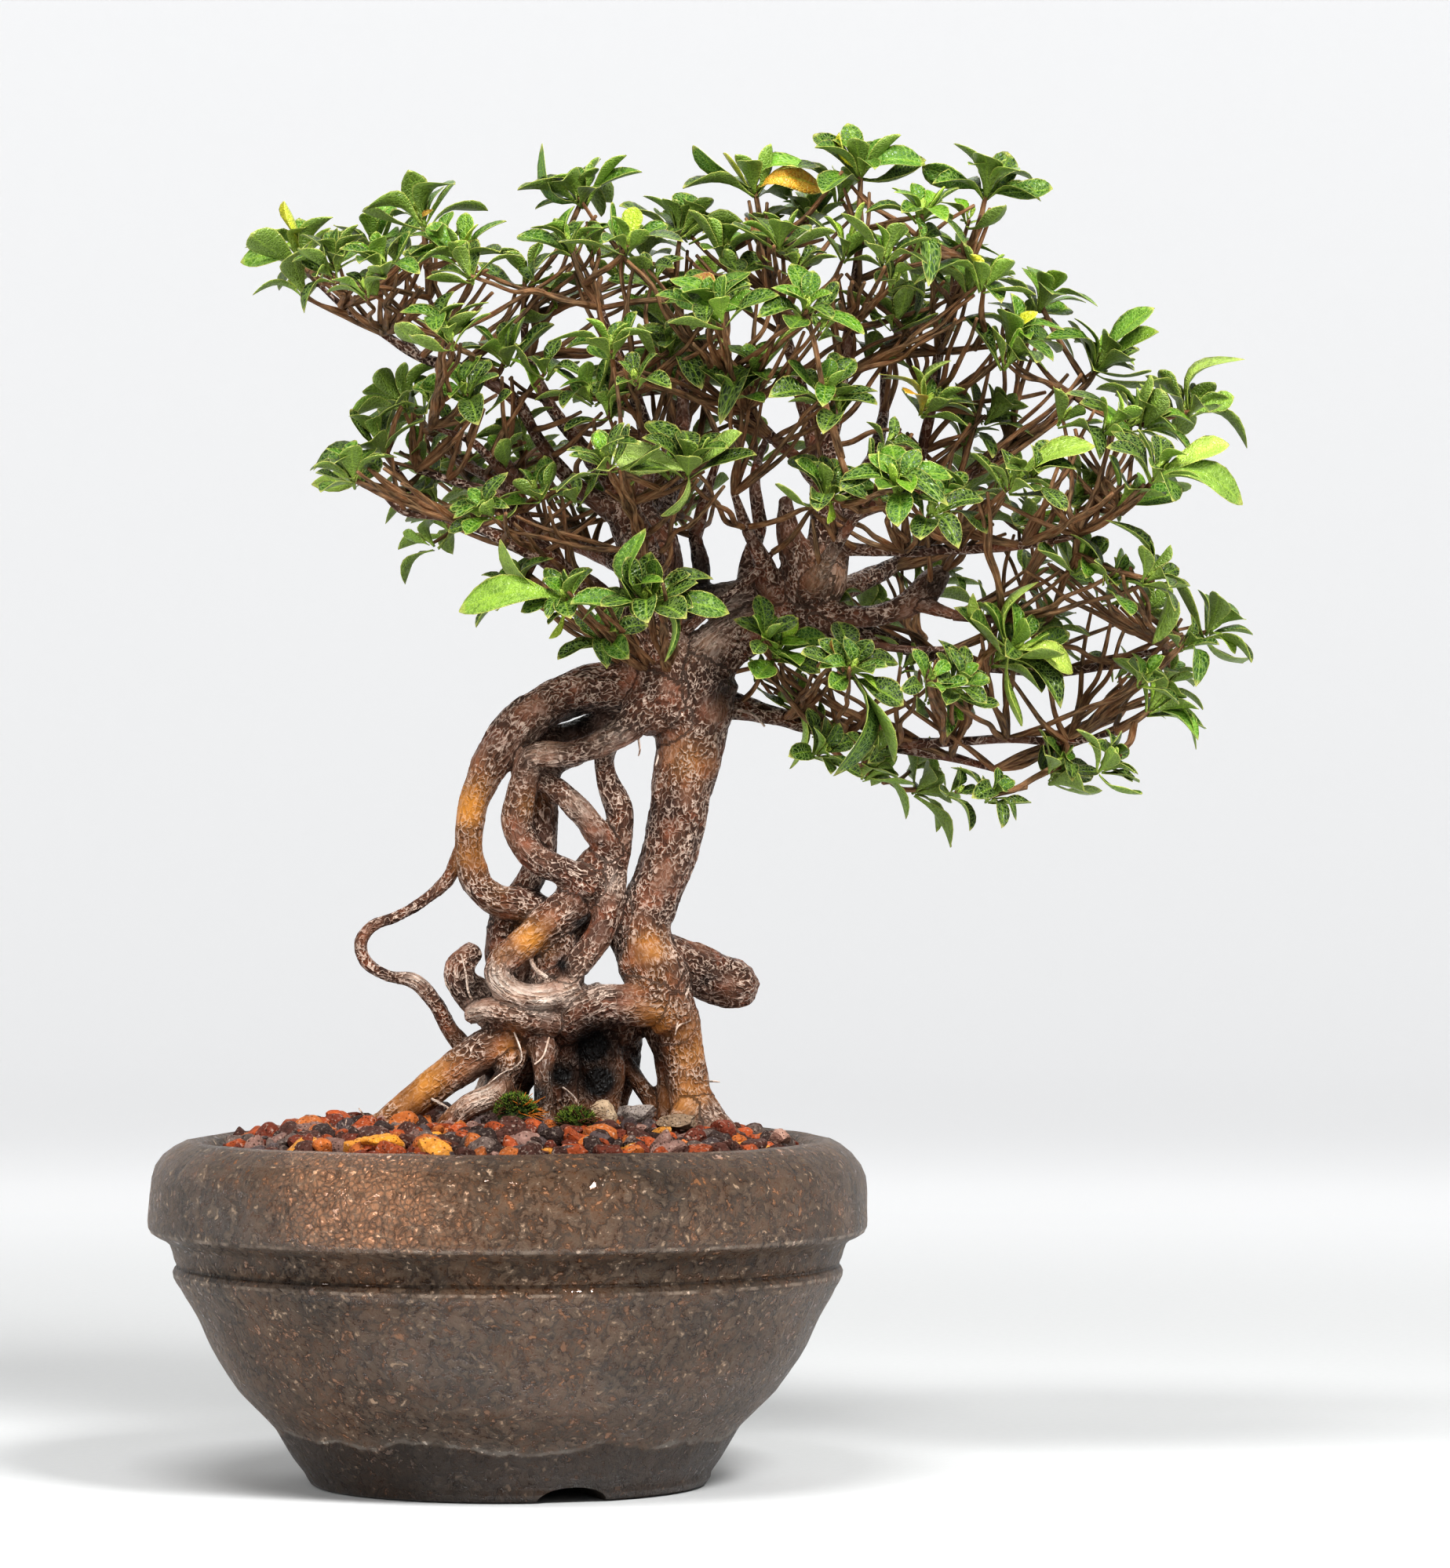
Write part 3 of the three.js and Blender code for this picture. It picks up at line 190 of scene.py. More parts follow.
def root_bark():
    """Living root bark, grown and air-dried: red-brown, covered in a pale wormy net with painted shade
    between its lines, rubbed to bare ochre where the root is young."""
    material, tree, shader = new_material("root_and_trunk_bark", IOR=1.45, Specular_IOR_Level=0.4)
    grain = put(tree, STORED, {}, "Vector", attribute_name="grain_mm")
    stain = put(tree, STORED, {}, "Color", attribute_name="stain")
    ochre, pale, dark = (put(tree, CHANNELS, {0: stain}, channel) for channel in range(3))
    place = put(tree, COORDINATES, {}, "Object")
    along = put(tree, SCALED, {0: grain, 1: (MM, MM, MM * 0.8)}, operation="MULTIPLY")
    fibre = put(tree, SCALED, {0: grain, 1: (MM, MM, MM * 0.1)}, operation="MULTIPLY")
    patches = put(tree, NOISE, {"Vector": place, "Scale": 1 / (15 * MM), "Detail": 4.0})
    patches = put(tree, SPREAD, {0: patches, 1: 0.38, 2: 0.6})
    threads = put(tree, NOISE, {"Vector": fibre, "Scale": 1 / (1.0 * MM), "Detail": 3.0})
    threads = put(tree, SPREAD, {0: threads, 1: 0.35, 2: 0.65})
    colour = put(tree, MIX, {0: patches, 6: BARK_DARK, 7: BARK_BROWN}, 2, data_type="RGBA")
    rust = put(tree, NOISE, {"Vector": place, "Scale": 1 / (8 * MM), "Detail": 3.0})
    rust = put(tree, SPREAD, {0: rust, 1: 0.5, 2: 0.68, 3: 0.0, 4: 0.6})
    colour = put(tree, MIX, {0: rust, 6: colour, 7: BARK_RUST}, 2, data_type="RGBA")
    young = put(tree, MIX, {0: patches, 6: OCHRE_DARK, 7: OCHRE}, 2, data_type="RGBA")
    share = put(tree, MATH, {0: ochre, 1: 0.9}, operation="MULTIPLY")
    colour = put(tree, MIX, {0: share, 6: colour, 7: young}, 2, data_type="RGBA")
    skin = put(tree, MIX, {0: threads, 6: PALE_SHADE, 7: PALE_SKIN}, 2, data_type="RGBA")
    colour = put(tree, MIX, {0: pale, 6: colour, 7: skin}, 2, data_type="RGBA")

    # The net: thin raised lines that wander, with pits of shadow between them. They are about 1 mm apart
    # in life, and are drawn nearly 2 mm apart so that they show.
    worm = put(tree, NOISE, {"Vector": along, "Scale": 1 / (1.9 * MM), "Detail": 1.5, "Distortion": 0.5})
    worm = put(tree, MATH, {0: worm, 1: 0.5}, operation="SUBTRACT")
    worm = put(tree, MATH, {0: worm}, operation="ABSOLUTE")
    lines = put(tree, SPREAD, {0: worm, 1: 0.015, 2: 0.065, 3: 1.0, 4: 0.0}, interpolation_type=EASED)
    hollow = put(tree, SPREAD, {0: worm, 1: 0.06, 2: 0.16}, interpolation_type=EASED)
    cover = put(tree, NOISE, {"Vector": place, "Scale": 1 / (11 * MM), "Detail": 3.0})
    cover = put(tree, SPREAD, {0: cover, 1: 0.38, 2: 0.56, 3: 0.18, 4: 1.0})
    bare = put(tree, SPREAD, {0: ochre, 3: 1.0, 4: 0.12})
    netted = put(tree, MATH, {0: cover, 1: bare}, operation="MULTIPLY")
    share = put(tree, MATH, {0: hollow, 1: netted}, operation="MULTIPLY")
    clean = put(tree, SPREAD, {0: pale, 3: 0.62, 4: 0.4})
    share = put(tree, MATH, {0: share, 1: clean}, operation="MULTIPLY")
    colour = put(tree, MIX, {0: share, 6: colour, 7: BARK_CRACK_AND_SHADE}, 2, data_type="RGBA")
    share = put(tree, MATH, {0: lines, 1: netted}, operation="MULTIPLY")
    dry = put(tree, SPREAD, {0: threads, 3: 0.75, 4: 0.95})
    share = put(tree, MATH, {0: share, 1: dry}, operation="MULTIPLY")
    colour = put(tree, MIX, {0: share, 6: colour, 7: BARK_FLAKE}, 2, data_type="RGBA")

    # Old fibres split dark along the grain, and deep between the roots the skin is painted nearly black as
    # shade.
    split = put(tree, SPREAD, {0: threads, 1: 0.0, 2: 0.25, 3: 0.2, 4: 0.0})
    split = put(tree, MATH, {0: split, 1: bare}, operation="MULTIPLY")
    colour = put(tree, MIX, {0: split, 6: colour, 7: BARK_CRACK_AND_SHADE}, 2, data_type="RGBA")
    share = put(tree, SPREAD, {0: dark, 1: 0.0, 2: 0.8})
    colour = put(tree, MIX, {0: share, 6: colour, 7: BARK_SHADOW}, 2, data_type="RGBA")
    roughness = put(tree, SPREAD, {0: hollow, 3: 0.34, 4: 0.75})
    height = put(tree, MATH, {0: lines, 1: 0.5, 2: threads}, operation="MULTIPLY_ADD")
    height = put(tree, MATH, {0: hollow, 1: -0.5, 2: height}, operation="MULTIPLY_ADD")
    height = put(tree, MATH, {0: height, 1: netted}, operation="MULTIPLY")
    finish_surface(tree, shader, colour, roughness, height, 1.2)
    return material


def twig_bark():
    """Young azalea twigs: thin reddish bark with long fine splits."""
    material, tree, shader = new_material("young_twig_bark", IOR=1.45, Specular_IOR_Level=0.35)
    grain = put(tree, STORED, {}, "Vector", attribute_name="grain_mm")
    fibre = put(tree, SCALED, {0: grain, 1: (MM, MM, MM * 0.15)}, operation="MULTIPLY")
    place = put(tree, COORDINATES, {}, "Object")
    threads = put(tree, NOISE, {"Vector": fibre, "Scale": 1 / (0.6 * MM), "Detail": 3.0})
    threads = put(tree, SPREAD, {0: threads, 1: 0.35, 2: 0.65})
    patches = put(tree, NOISE, {"Vector": place, "Scale": 1 / (9 * MM), "Detail": 3.0})
    patches = put(tree, SPREAD, {0: patches, 1: 0.4, 2: 0.6})
    colour = put(tree, MIX, {0: patches, 6: TWIG_DARK, 7: TWIG_RED}, 2, data_type="RGBA")
    share = put(tree, MATH, {0: threads, 1: 0.45}, operation="MULTIPLY")
    colour = put(tree, MIX, {0: share, 6: colour, 7: TWIG_LIGHT}, 2, data_type="RGBA")
    roughness = put(tree, SPREAD, {0: threads, 3: 0.5, 4: 0.8})
    finish_surface(tree, shader, colour, roughness, threads, 0.3)
    return material


def azalea_leaf():
    """A small leathery evergreen leaf: waxy, netted with paler veins, edged in pale tan that is brightened as
    a painted highlight.

    The veins are about 0.7 mm apart in life, and are drawn a little coarser so that they show."""
    material, tree, shader = new_material("azalea_leaf_cuticle", IOR=1.45, Specular_IOR_Level=0.5)
    blade = put(tree, STORED, {}, "Vector", attribute_name="blade")
    across, along, under = (put(tree, AXES, {0: blade}, axis) for axis in range(3))
    away = put(tree, MATH, {0: across}, operation="ABSOLUTE")
    tone = put(tree, STORED, {}, "Color", attribute_name="leaf_colour")
    flat = put(tree, STORED, {}, "Vector", attribute_name="blade_mm")
    flat = put(tree, SCALED, {0: flat, 1: (MM, MM, MM)}, operation="MULTIPLY")
    netting = put(tree, CELLS, {"Vector": flat, "Scale": 1 / (1.15 * MM)}, "Distance",
                  feature="DISTANCE_TO_EDGE")
    netting = put(tree, SPREAD, {0: netting, 1: 0.0, 2: 0.2})
    blotch = put(tree, NOISE, {"Vector": flat, "Scale": 1 / (4.5 * MM), "Detail": 3.0})
    blotch = put(tree, SPREAD, {0: blotch, 1: 0.3, 2: 0.7})
    share = put(tree, MATH, {0: blotch, 1: 0.7}, operation="MULTIPLY")
    colour = put(tree, MIX, {0: share, 6: tone, 7: LEAF_DEEP}, 2, data_type="RGBA", blend_type="MULTIPLY")
    light = put(tree, MIX, {0: 0.45, 6: tone, 7: LEAF_VEIN}, 2, data_type="RGBA")
    share = put(tree, SPREAD, {0: netting, 3: 0.8, 4: 0.0})
    colour = put(tree, MIX, {0: share, 6: colour, 7: light}, 2, data_type="RGBA")

    # Side veins leave the midrib at a slant.
    slant = put(tree, MATH, {0: away, 1: -0.16, 2: along}, operation="MULTIPLY_ADD")
    slant = put(tree, MATH, {0: slant, 1: 7.0}, operation="MULTIPLY")
    ribs = put(tree, MATH, {0: slant, 1: 0.5}, operation="PINGPONG")
    ribs = put(tree, SPREAD, {0: ribs, 1: 0.02, 2: 0.12, 3: 0.4, 4: 0.0}, interpolation_type=EASED)
    colour = put(tree, MIX, {0: ribs, 6: colour, 7: light}, 2, data_type="RGBA")
    midrib = put(tree, SPREAD, {0: away, 1: 0.03, 2: 0.14, 3: 0.4, 4: 0.0}, interpolation_type=EASED)
    colour = put(tree, MIX, {0: midrib, 6: colour, 7: LEAF_RIB}, 2, data_type="RGBA")
    # The pale rim and tip are partly a real tan margin and partly a painted highlight.
    edge = put(tree, SPREAD, {0: away, 1: 0.9, 2: 1.0})
    tip = put(tree, SPREAD, {0: along, 1: 0.93, 2: 1.0})
    edge = put(tree, MATH, {0: edge, 1: tip}, operation="MAXIMUM")
    share = put(tree, MATH, {0: edge, 1: 0.6}, operation="MULTIPLY")
    colour = put(tree, MIX, {0: share, 6: colour, 7: LEAF_EDGE_AND_HIGHLIGHT}, 2, data_type="RGBA")
    back = put(tree, MIX, {0: 0.4, 6: colour, 7: LEAF_UNDER}, 2, data_type="RGBA")
    colour = put(tree, MIX, {0: under, 6: colour, 7: back}, 2, data_type="RGBA")
    roughness = put(tree, SPREAD, {0: blotch, 3: 0.3, 4: 0.48})
    height = put(tree, MATH, {0: midrib, 1: -1.2, 2: netting}, operation="MULTIPLY_ADD")
    finish_surface(tree, shader, colour, roughness, height, 0.2)
    return material


def broken_stone(name, pore_mm):
    """Crushed lava and fired clay: rough and pored, each grain its own colour, dusty on top."""
    material, tree, shader = new_material(name, IOR=1.5, Specular_IOR_Level=0.3)
    place = put(tree, COORDINATES, {}, "Object")
    own = put(tree, STORED, {}, "Color", attribute_name="grain_colour")
    mottle = put(tree, NOISE, {"Vector": place, "Scale": 1 / (2.4 * MM), "Detail": 5.0, "Roughness": 0.65})
    mottle = put(tree, SPREAD, {0: mottle, 1: 0.35, 2: 0.68})
    share = put(tree, MATH, {0: mottle, 1: 0.5}, operation="MULTIPLY")
    colour = put(tree, MIX, {0: share, 6: own, 7: STONE_SHADE}, 2, data_type="RGBA", blend_type="MULTIPLY")
    dust = put(tree, NOISE, {"Vector": place, "Scale": 1 / (1.1 * MM), "Detail": 3.0})
    dust = put(tree, SPREAD, {0: dust, 1: 0.57, 2: 0.72, 3: 0.0, 4: 0.4})
    colour = put(tree, MIX, {0: dust, 6: colour, 7: STONE_DUST}, 2, data_type="RGBA")
    pores = put(tree, CELLS, {"Vector": place, "Scale": 1 / (pore_mm * MM)}, "Distance")
    pores = put(tree, SPREAD, {0: pores, 1: 0.12, 2: 0.32, 3: 0.7, 4: 0.0}, interpolation_type=EASED)
    colour = put(tree, MIX, {0: pores, 6: colour, 7: STONE_PORE}, 2, data_type="RGBA")
    roughness = put(tree, SPREAD, {0: mottle, 3: 0.55, 4: 0.9})
    height = put(tree, MATH, {0: mottle, 1: pores}, operation="SUBTRACT")
    finish_surface(tree, shader, colour, roughness, height, 0.5)
    return material


def damp_soil():
    """Fine dark potting mix, damp, with crumbs."""
    material, tree, shader = new_material("damp_potting_soil", IOR=1.4, Specular_IOR_Level=0.25)
    place = put(tree, COORDINATES, {}, "Object")
    crumbs = put(tree, NOISE, {"Vector": place, "Scale": 1 / (2.2 * MM), "Detail": 6.0, "Roughness": 0.65})
    crumbs = put(tree, SPREAD, {0: crumbs, 1: 0.35, 2: 0.65})
    colour = put(tree, MIX, {0: crumbs, 6: SOIL_DARK, 7: SOIL_LIGHT}, 2, data_type="RGBA")
    roughness = put(tree, SPREAD, {0: crumbs, 3: 0.7, 4: 0.95})
    finish_surface(tree, shader, colour, roughness, crumbs, 1.2)
    return material


def living_moss():
    """Short feathery moss, olive at the tips and dark at the base, mixed with dead brown root fibres."""
    material, tree, shader = new_material("living_moss", IOR=1.4, Specular_IOR_Level=0.3)
    place = put(tree, COORDINATES, {}, "Object")
    tip = put(tree, STORED, {}, "Fac", attribute_name="tip")
    fine = put(tree, NOISE, {"Vector": place, "Scale": 1 / (1.5 * MM), "Detail": 3.0})
    fine = put(tree, SPREAD, {0: fine, 1: 0.4, 2: 0.6})
    bright = put(tree, MIX, {0: fine, 6: MOSS_GREEN, 7: MOSS_BRIGHT}, 2, data_type="RGBA")
    colour = put(tree, MIX, {0: tip, 6: MOSS_DEEP, 7: bright}, 2, data_type="RGBA")
    fibre = put(tree, SPREAD, {0: tip, 1: 1.2, 2: 1.4})
    colour = put(tree, MIX, {0: fibre, 6: colour, 7: MOSS_FIBRE}, 2, data_type="RGBA")
    fibre = put(tree, SPREAD, {0: tip, 1: 1.7, 2: 1.9})
    colour = put(tree, MIX, {0: fibre, 6: colour, 7: MOSS_ORANGE}, 2, data_type="RGBA")
    roughness = put(tree, SPREAD, {0: fine, 3: 0.6, 4: 0.85})
    finish_surface(tree, shader, colour, roughness, fine, 0.3)
    return material


def moulded_screen():
    """Black polypropylene mesh, moulded, with a faint tooled texture."""
    material, tree, shader = new_material("moulded_polypropylene", IOR=1.49)
    place = put(tree, COORDINATES, {}, "Object")
    fine = put(tree, NOISE, {"Vector": place, "Scale": 1 / (0.8 * MM), "Detail": 3.0})
    fine = put(tree, SPREAD, {0: fine, 1: 0.4, 2: 0.6})
    colour = put(tree, MIX, {0: fine, 6: "#1b1b1a", 7: "#2b2a28"}, 2, data_type="RGBA")
    roughness = put(tree, SPREAD, {0: fine, 3: 0.45, 4: 0.65})
    finish_surface(tree, shader, colour, roughness, fine, 0.1)
    return material


def studio_paper():
    """Pale matt background paper that glows, as painted light, more the farther it lies from the bowl."""
    material, tree, shader = new_material("studio_paper", Specular_IOR_Level=0.1,
                                          Emission_Color=linear("#fcfcfe"))
    place = put(tree, COORDINATES, {}, "Object")
    fibre = put(tree, NOISE, {"Vector": place, "Scale": 1 / (3 * MM), "Detail": 2.0})
    colour = put(tree, MIX, {0: fibre, 6: "#d2d3d3", 7: "#d7d8d8"}, 2, data_type="RGBA")
    roughness = put(tree, SPREAD, {0: fibre, 3: 0.85, 4: 0.95})
    # Painted light: the paper glows though it is no lamp, from none near the bowl to PAPER_GLOW far off.
    away = put(tree, SCALED, {0: place}, "Value", operation="LENGTH")
    glow = put(tree, SPREAD, {0: away, 1: 0.5, 2: 1.8, 3: 0.0, 4: PAPER_GLOW}, interpolation_type=EASED)
    tree.links.new(glow, shader.inputs["Emission Strength"])
    finish_surface(tree, shader, colour, roughness, fibre, 0.05)
    return material


# ---- Shapes ----
def mesh_piece(name, vertices, faces, materials, smooth=True, slots=None):
    """A mesh object from millimetre points, riding on the part."""
    mesh = bpy.data.meshes.new(name)
    mesh.from_pydata((np.asarray(vertices) * MM).tolist(), [], faces)
    for material in materials:
        mesh.materials.append(material)
    if slots is not None:
        mesh.polygons.foreach_set("material_index", np.asarray(slots, dtype=np.int32))
    mesh.polygons.foreach_set("use_smooth", [smooth] * len(mesh.polygons))
    mesh.update()
    made = bpy.data.objects.new(name, mesh)
    bpy.context.scene.collection.objects.link(made)
    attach(made, "root")
    return made


def store(made, name, kind, values):
    """Writes one value to each point of a piece, as an attribute that its material reads."""
    field = {"FLOAT": "value", "FLOAT_VECTOR": "vector", "FLOAT_COLOR": "color"}[kind]
    layer = made.data.attributes.new(name, kind, "POINT")
    layer.data.foreach_set(field, np.asarray(values, dtype=np.float32).ravel())


def applied(made):
    """Turns a piece's modifiers into its mesh."""
    seen = made.evaluated_get(bpy.context.evaluated_depsgraph_get())
    mesh = bpy.data.meshes.new_from_object(seen)
    made.modifiers.clear()
    made.data = mesh
    return made


class Heap:
    """Gathers shapes into one mesh: points, faces, a material slot for each face and attributes."""

    def __init__(self):
        self.points, self.faces, self.slots, self.layers, self.count = [], [], [], {}, 0

    def add(self, points, faces, slot=0, **layers):
        self.points.append(points)
        self.faces.extend([tuple(i + self.count for i in face) for face in faces])
        self.slots.extend([slot] * len(faces))
        for name, values in layers.items():
            self.layers.setdefault(name, []).append((self.count, values))
        self.count += len(points)

    def piece(self, name, materials, kinds=None, smooth=True):
        made = mesh_piece(name, np.concatenate(self.points), self.faces, materials, smooth, self.slots)
        for layer, kind in (kinds or {}).items():
            width = {"FLOAT": 1, "FLOAT_VECTOR": 3, "FLOAT_COLOR": 4}[kind]
            values = np.zeros((self.count, width), dtype=np.float32)
            for start, chunk in self.layers.get(layer, []):
                chunk = np.asarray(chunk, dtype=np.float32).reshape(-1, width)
                values[start:start + len(chunk)] = chunk
            store(made, layer, kind, values)
        return made


def smooth_way(points, step):
    """Points [x, y, z, radius] eased through the listed ones, about a step apart."""
    listed = np.asarray(points, dtype=float)
    padded = np.vstack([2 * listed[0] - listed[1], listed, 2 * listed[-1] - listed[-2]])
    padded[0, 3], padded[-1, 3] = listed[0, 3], listed[-1, 3]
    way = []
    for i in range(1, len(padded) - 2):
        p0, p1, p2, p3 = padded[i - 1:i + 3]
        pieces = max(1, round(np.linalg.norm((p2 - p1)[:3]) / step))
        for t in np.arange(pieces) / pieces:
            way.append(0.5 * (2 * p1 + (p2 - p0) * t + (2 * p0 - 5 * p1 + 4 * p2 - p3) * t ** 2
                              + (3 * p1 - p0 - 3 * p2 + p3) * t ** 3))
    way.append(listed[-1])
    return np.array(way)


def frames_along(way):
    """Two directions across the way at each of its points, turning as little as they can."""
    tangents = np.gradient(way[:, :3], axis=0)
    tangents /= np.linalg.norm(tangents, axis=1)[:, None]
    side = np.cross(tangents[0], UP if abs(tangents[0][2]) < 0.9 else [1.0, 0.0, 0.0])
    sides = []
    for tangent in tangents:
        side = side - tangent * side.dot(tangent)
        side = side / np.linalg.norm(side)
        sides.append(side)
    sides = np.array(sides)
    return tangents, sides, np.cross(tangents, sides)


def swept(points, sides=16, step=2.0, lumps=0.0, seed=0.0):
    """A round strand: its points, its faces and its bark grain, with domed ends."""
    way = smooth_way(points, step)
    tangents, across, up = frames_along(way)
    angles = np.arange(sides) * 2 * math.pi / sides
    length = np.concatenate([[0], np.cumsum(np.linalg.norm(np.diff(way[:, :3], axis=0), axis=1))])
    rings, grain = [], []
    for i, (x, y, z, radius) in enumerate(way):
        swell = 1 + lumps * np.array([
            noise.noise(Vector((math.cos(a) * 1.1 + seed, math.sin(a) * 1.1, length[i] / 9)))
            for a in angles])
        circle = np.outer(np.cos(angles) * swell, across[i]) + np.outer(np.sin(angles) * swell, up[i])
        rings.append(np.array([x, y, z]) + circle * radius)
        grain.append(np.stack([np.cos(angles) * radius, np.sin(angles) * radius,
                               np.full(sides, length[i] + seed * 37)], axis=1))
    start = way[0, :3] - tangents[0] * way[0, 3] * 0.5
    end = way[-1, :3] + tangents[-1] * way[-1, 3] * 0.5
    vertices = np.vstack([*rings, start, end])
    grain = np.vstack([*grain, [[0, 0, seed * 37]], [[0, 0, length[-1] + seed * 37]]])
    faces = []
    for ring in range(len(way) - 1):
        base = ring * sides
        for k in range(sides):
            after = (k + 1) % sides
            faces.append((base + k, base + after, base + sides + after, base + sides + k))
    first, last, top = len(vertices) - 2, len(vertices) - 1, (len(way) - 1) * sides
    for k in range(sides):
        after = (k + 1) % sides
        faces.append((after, k, first))
        faces.append((top + k, top + after, last))
    return vertices, faces, grain


# ---- Bowl ----
POT_OUTLINE = [
    (0, 0), (58, 0), (64.6, 0), (66, 0.6), (67.3, 2.6), (72, 9), (78.6, 19.6), (84.6, 25.8), (90, 31.4),
    (94, 36.8), (97.4, 42), (99.8, 46.4), (102.2, 51.4), (104.2, 55.6), (106.6, 60), (108.4, 63),
    (109.6, 65.4), (111, 67.4), (112, 69.4), (112.2, 71), (111.6, 72.2), (110.9, 72.9), (110.9, 73.8),
    (111.6, 75.4), (112.2, 78), (113, 80.2), (114.6, 81.6), (117.2, 82.8), (119.1, 84), (120, 85.8),
    (120.2, 88), (120, 97), (119.5, 102.4), (118.2, 106.4), (115.6, 110), (112, 112.8), (108.6, 114.5),
    (105.4, 115), (102.6, 113.8), (100, 110), (98.4, 104), (97.6, 92), (97, 78), (93.5, 60), (85, 42),
    (77.5, 31), (63.6, 18), (54, 12), (30, 12), (0, 12),
]
SCUM_LINE, BEAD_Z, CREASE_Z, LIP_EDGE_Z = 18.5, 70.4, 73.2, 84.8


def eased_outline(outline, step):
    """The outline with extra points, at most a step apart."""
    points = [outline[0]]
    for (r0, z0), (r1, z1) in zip(outline, outline[1:]):
        pieces = max(1, math.ceil(math.hypot(r1 - r0, z1 - z0) / step))
        for k in range(1, pieces + 1):
            points.append((r0 + (r1 - r0) * k / pieces, z0 + (z1 - z0) * k / pieces))
    return points


def thrown_bowl(material):
    """The bowl, turned by hand: its wall wanders a little and carries small dents."""
    sides = 200
    outline = eased_outline(POT_OUTLINE, 2.6)[1:-1]
    angles = np.arange(sides) * 2 * math.pi / sides
    rings = []
    for radius, height in outline:
        wander = np.array([noise.noise(Vector((math.cos(a) * 1.4, math.sin(a) * 1.4, height / 34)))
                           for a in angles])
        dents = np.array([noise.noise(Vector((math.cos(a) * 9, math.sin(a) * 9, height / 12)))
                          for a in angles])
        settle = 0.0 if height < 3 or radius < 60 else 1.0
        out = radius + settle * (wander * 1.1 + dents * 0.45 - 0.7)
        tall = height + settle * (wander * 0.9 + dents * 0.3) * np.clip((height - 60) / 50, 0, 1)
        level = np.full(sides, 0.0) + tall
        rings.append(np.stack([np.cos(angles) * out, np.sin(angles) * out, level], axis=1))
    vertices = np.vstack([*rings, [[0, 0, 0]], [[0, 0, 12]]])
    faces = []
    for ring in range(len(rings) - 1):
        base = ring * sides
        for k in range(sides):
            after = (k + 1) % sides
            faces.append((base + k, base + after, base + sides + after, base + sides + k))
    foot, floor, top = len(vertices) - 2, len(vertices) - 1, (len(rings) - 1) * sides
    for k in range(sides):
        after = (k + 1) % sides
        faces.append((after, k, foot))
        faces.append((top + k, top + after, floor))
    bowl = mesh_piece("bowl", vertices, faces, [material])
    cutters = [cutter for angle in (-70, 50, 170) for cutter in drainage(math.radians(angle))]
    for cutter in cutters:
        cut = bowl.modifiers.new("drainage", "BOOLEAN")
        cut.object = cutter
        cut.solver = "MANIFOLD"
    applied(bowl)
    for cutter in cutters:
        bpy.data.objects.remove(cutter)
    bowl.data.polygons.foreach_set("use_smooth", [True] * len(bowl.data.polygons))
    bowl.data.set_sharp_from_angle(angle=math.radians(50))
    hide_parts("pot")


def drainage(angle):
    """Cutters for one arched groove across the foot and the hole above it."""
    arch = [(12 * math.cos(t), 5 * math.sin(t)) for t in np.linspace(0, math.pi, 15)]
    arch = [(12, -4), *arch, (-12, -4)]
    out, side = (math.cos(angle), math.sin(angle)), (-math.sin(angle), math.cos(angle))
    groove = [(out[0] * reach + side[0] * w, out[1] * reach + side[1] * w, h)
              for reach in (24, 110) for w, h in arch]
    count = len(arch)
    walls = [(i, (i + 1) % count, count + (i + 1) % count, count + i) for i in range(count)]
    caps = [tuple(range(count))[::-1], tuple(range(count, 2 * count))]
    hole, around = [], 28
    for height in (-4, 20):
        for k in range(around):
            turn = 2 * math.pi * k / around
            hole.append((out[0] * 41 + 6 * math.cos(turn), out[1] * 41 + 6 * math.sin(turn), height))
    sides = [(k, (k + 1) % around, around + (k + 1) % around, around + k) for k in range(around)]
    ends = [tuple(range(around))[::-1], tuple(range(around, 2 * around))]
    cutters = []
    for points, faces in ((groove, walls + caps), (hole, sides + ends)):
        mesh = bpy.data.meshes.new("drainage")
        mesh.from_pydata((np.array(points) * MM).tolist(), [], faces)
        cutter = bpy.data.objects.new("drainage", mesh)
        bpy.context.scene.collection.objects.link(cutter)
        cutters.append(cutter)
    return cutters


# ---- Grit ----
GRIT_EDGE, GRIT_EDGE_TOP, GRIT_RISE = 97.0, 111.5, 9.0


def grit_top(x, y):
    """Height of the mound of grit at a place."""
    share = min(1.0, math.hypot(x, y) / GRIT_EDGE)
    rise = float(np.interp(share, [0, 0.25, 0.48, 0.68, 0.86, 1.0], [1, 1, 0.95, 0.78, 0.45, 0.0]))
    return GRIT_EDGE_TOP + GRIT_RISE * rise


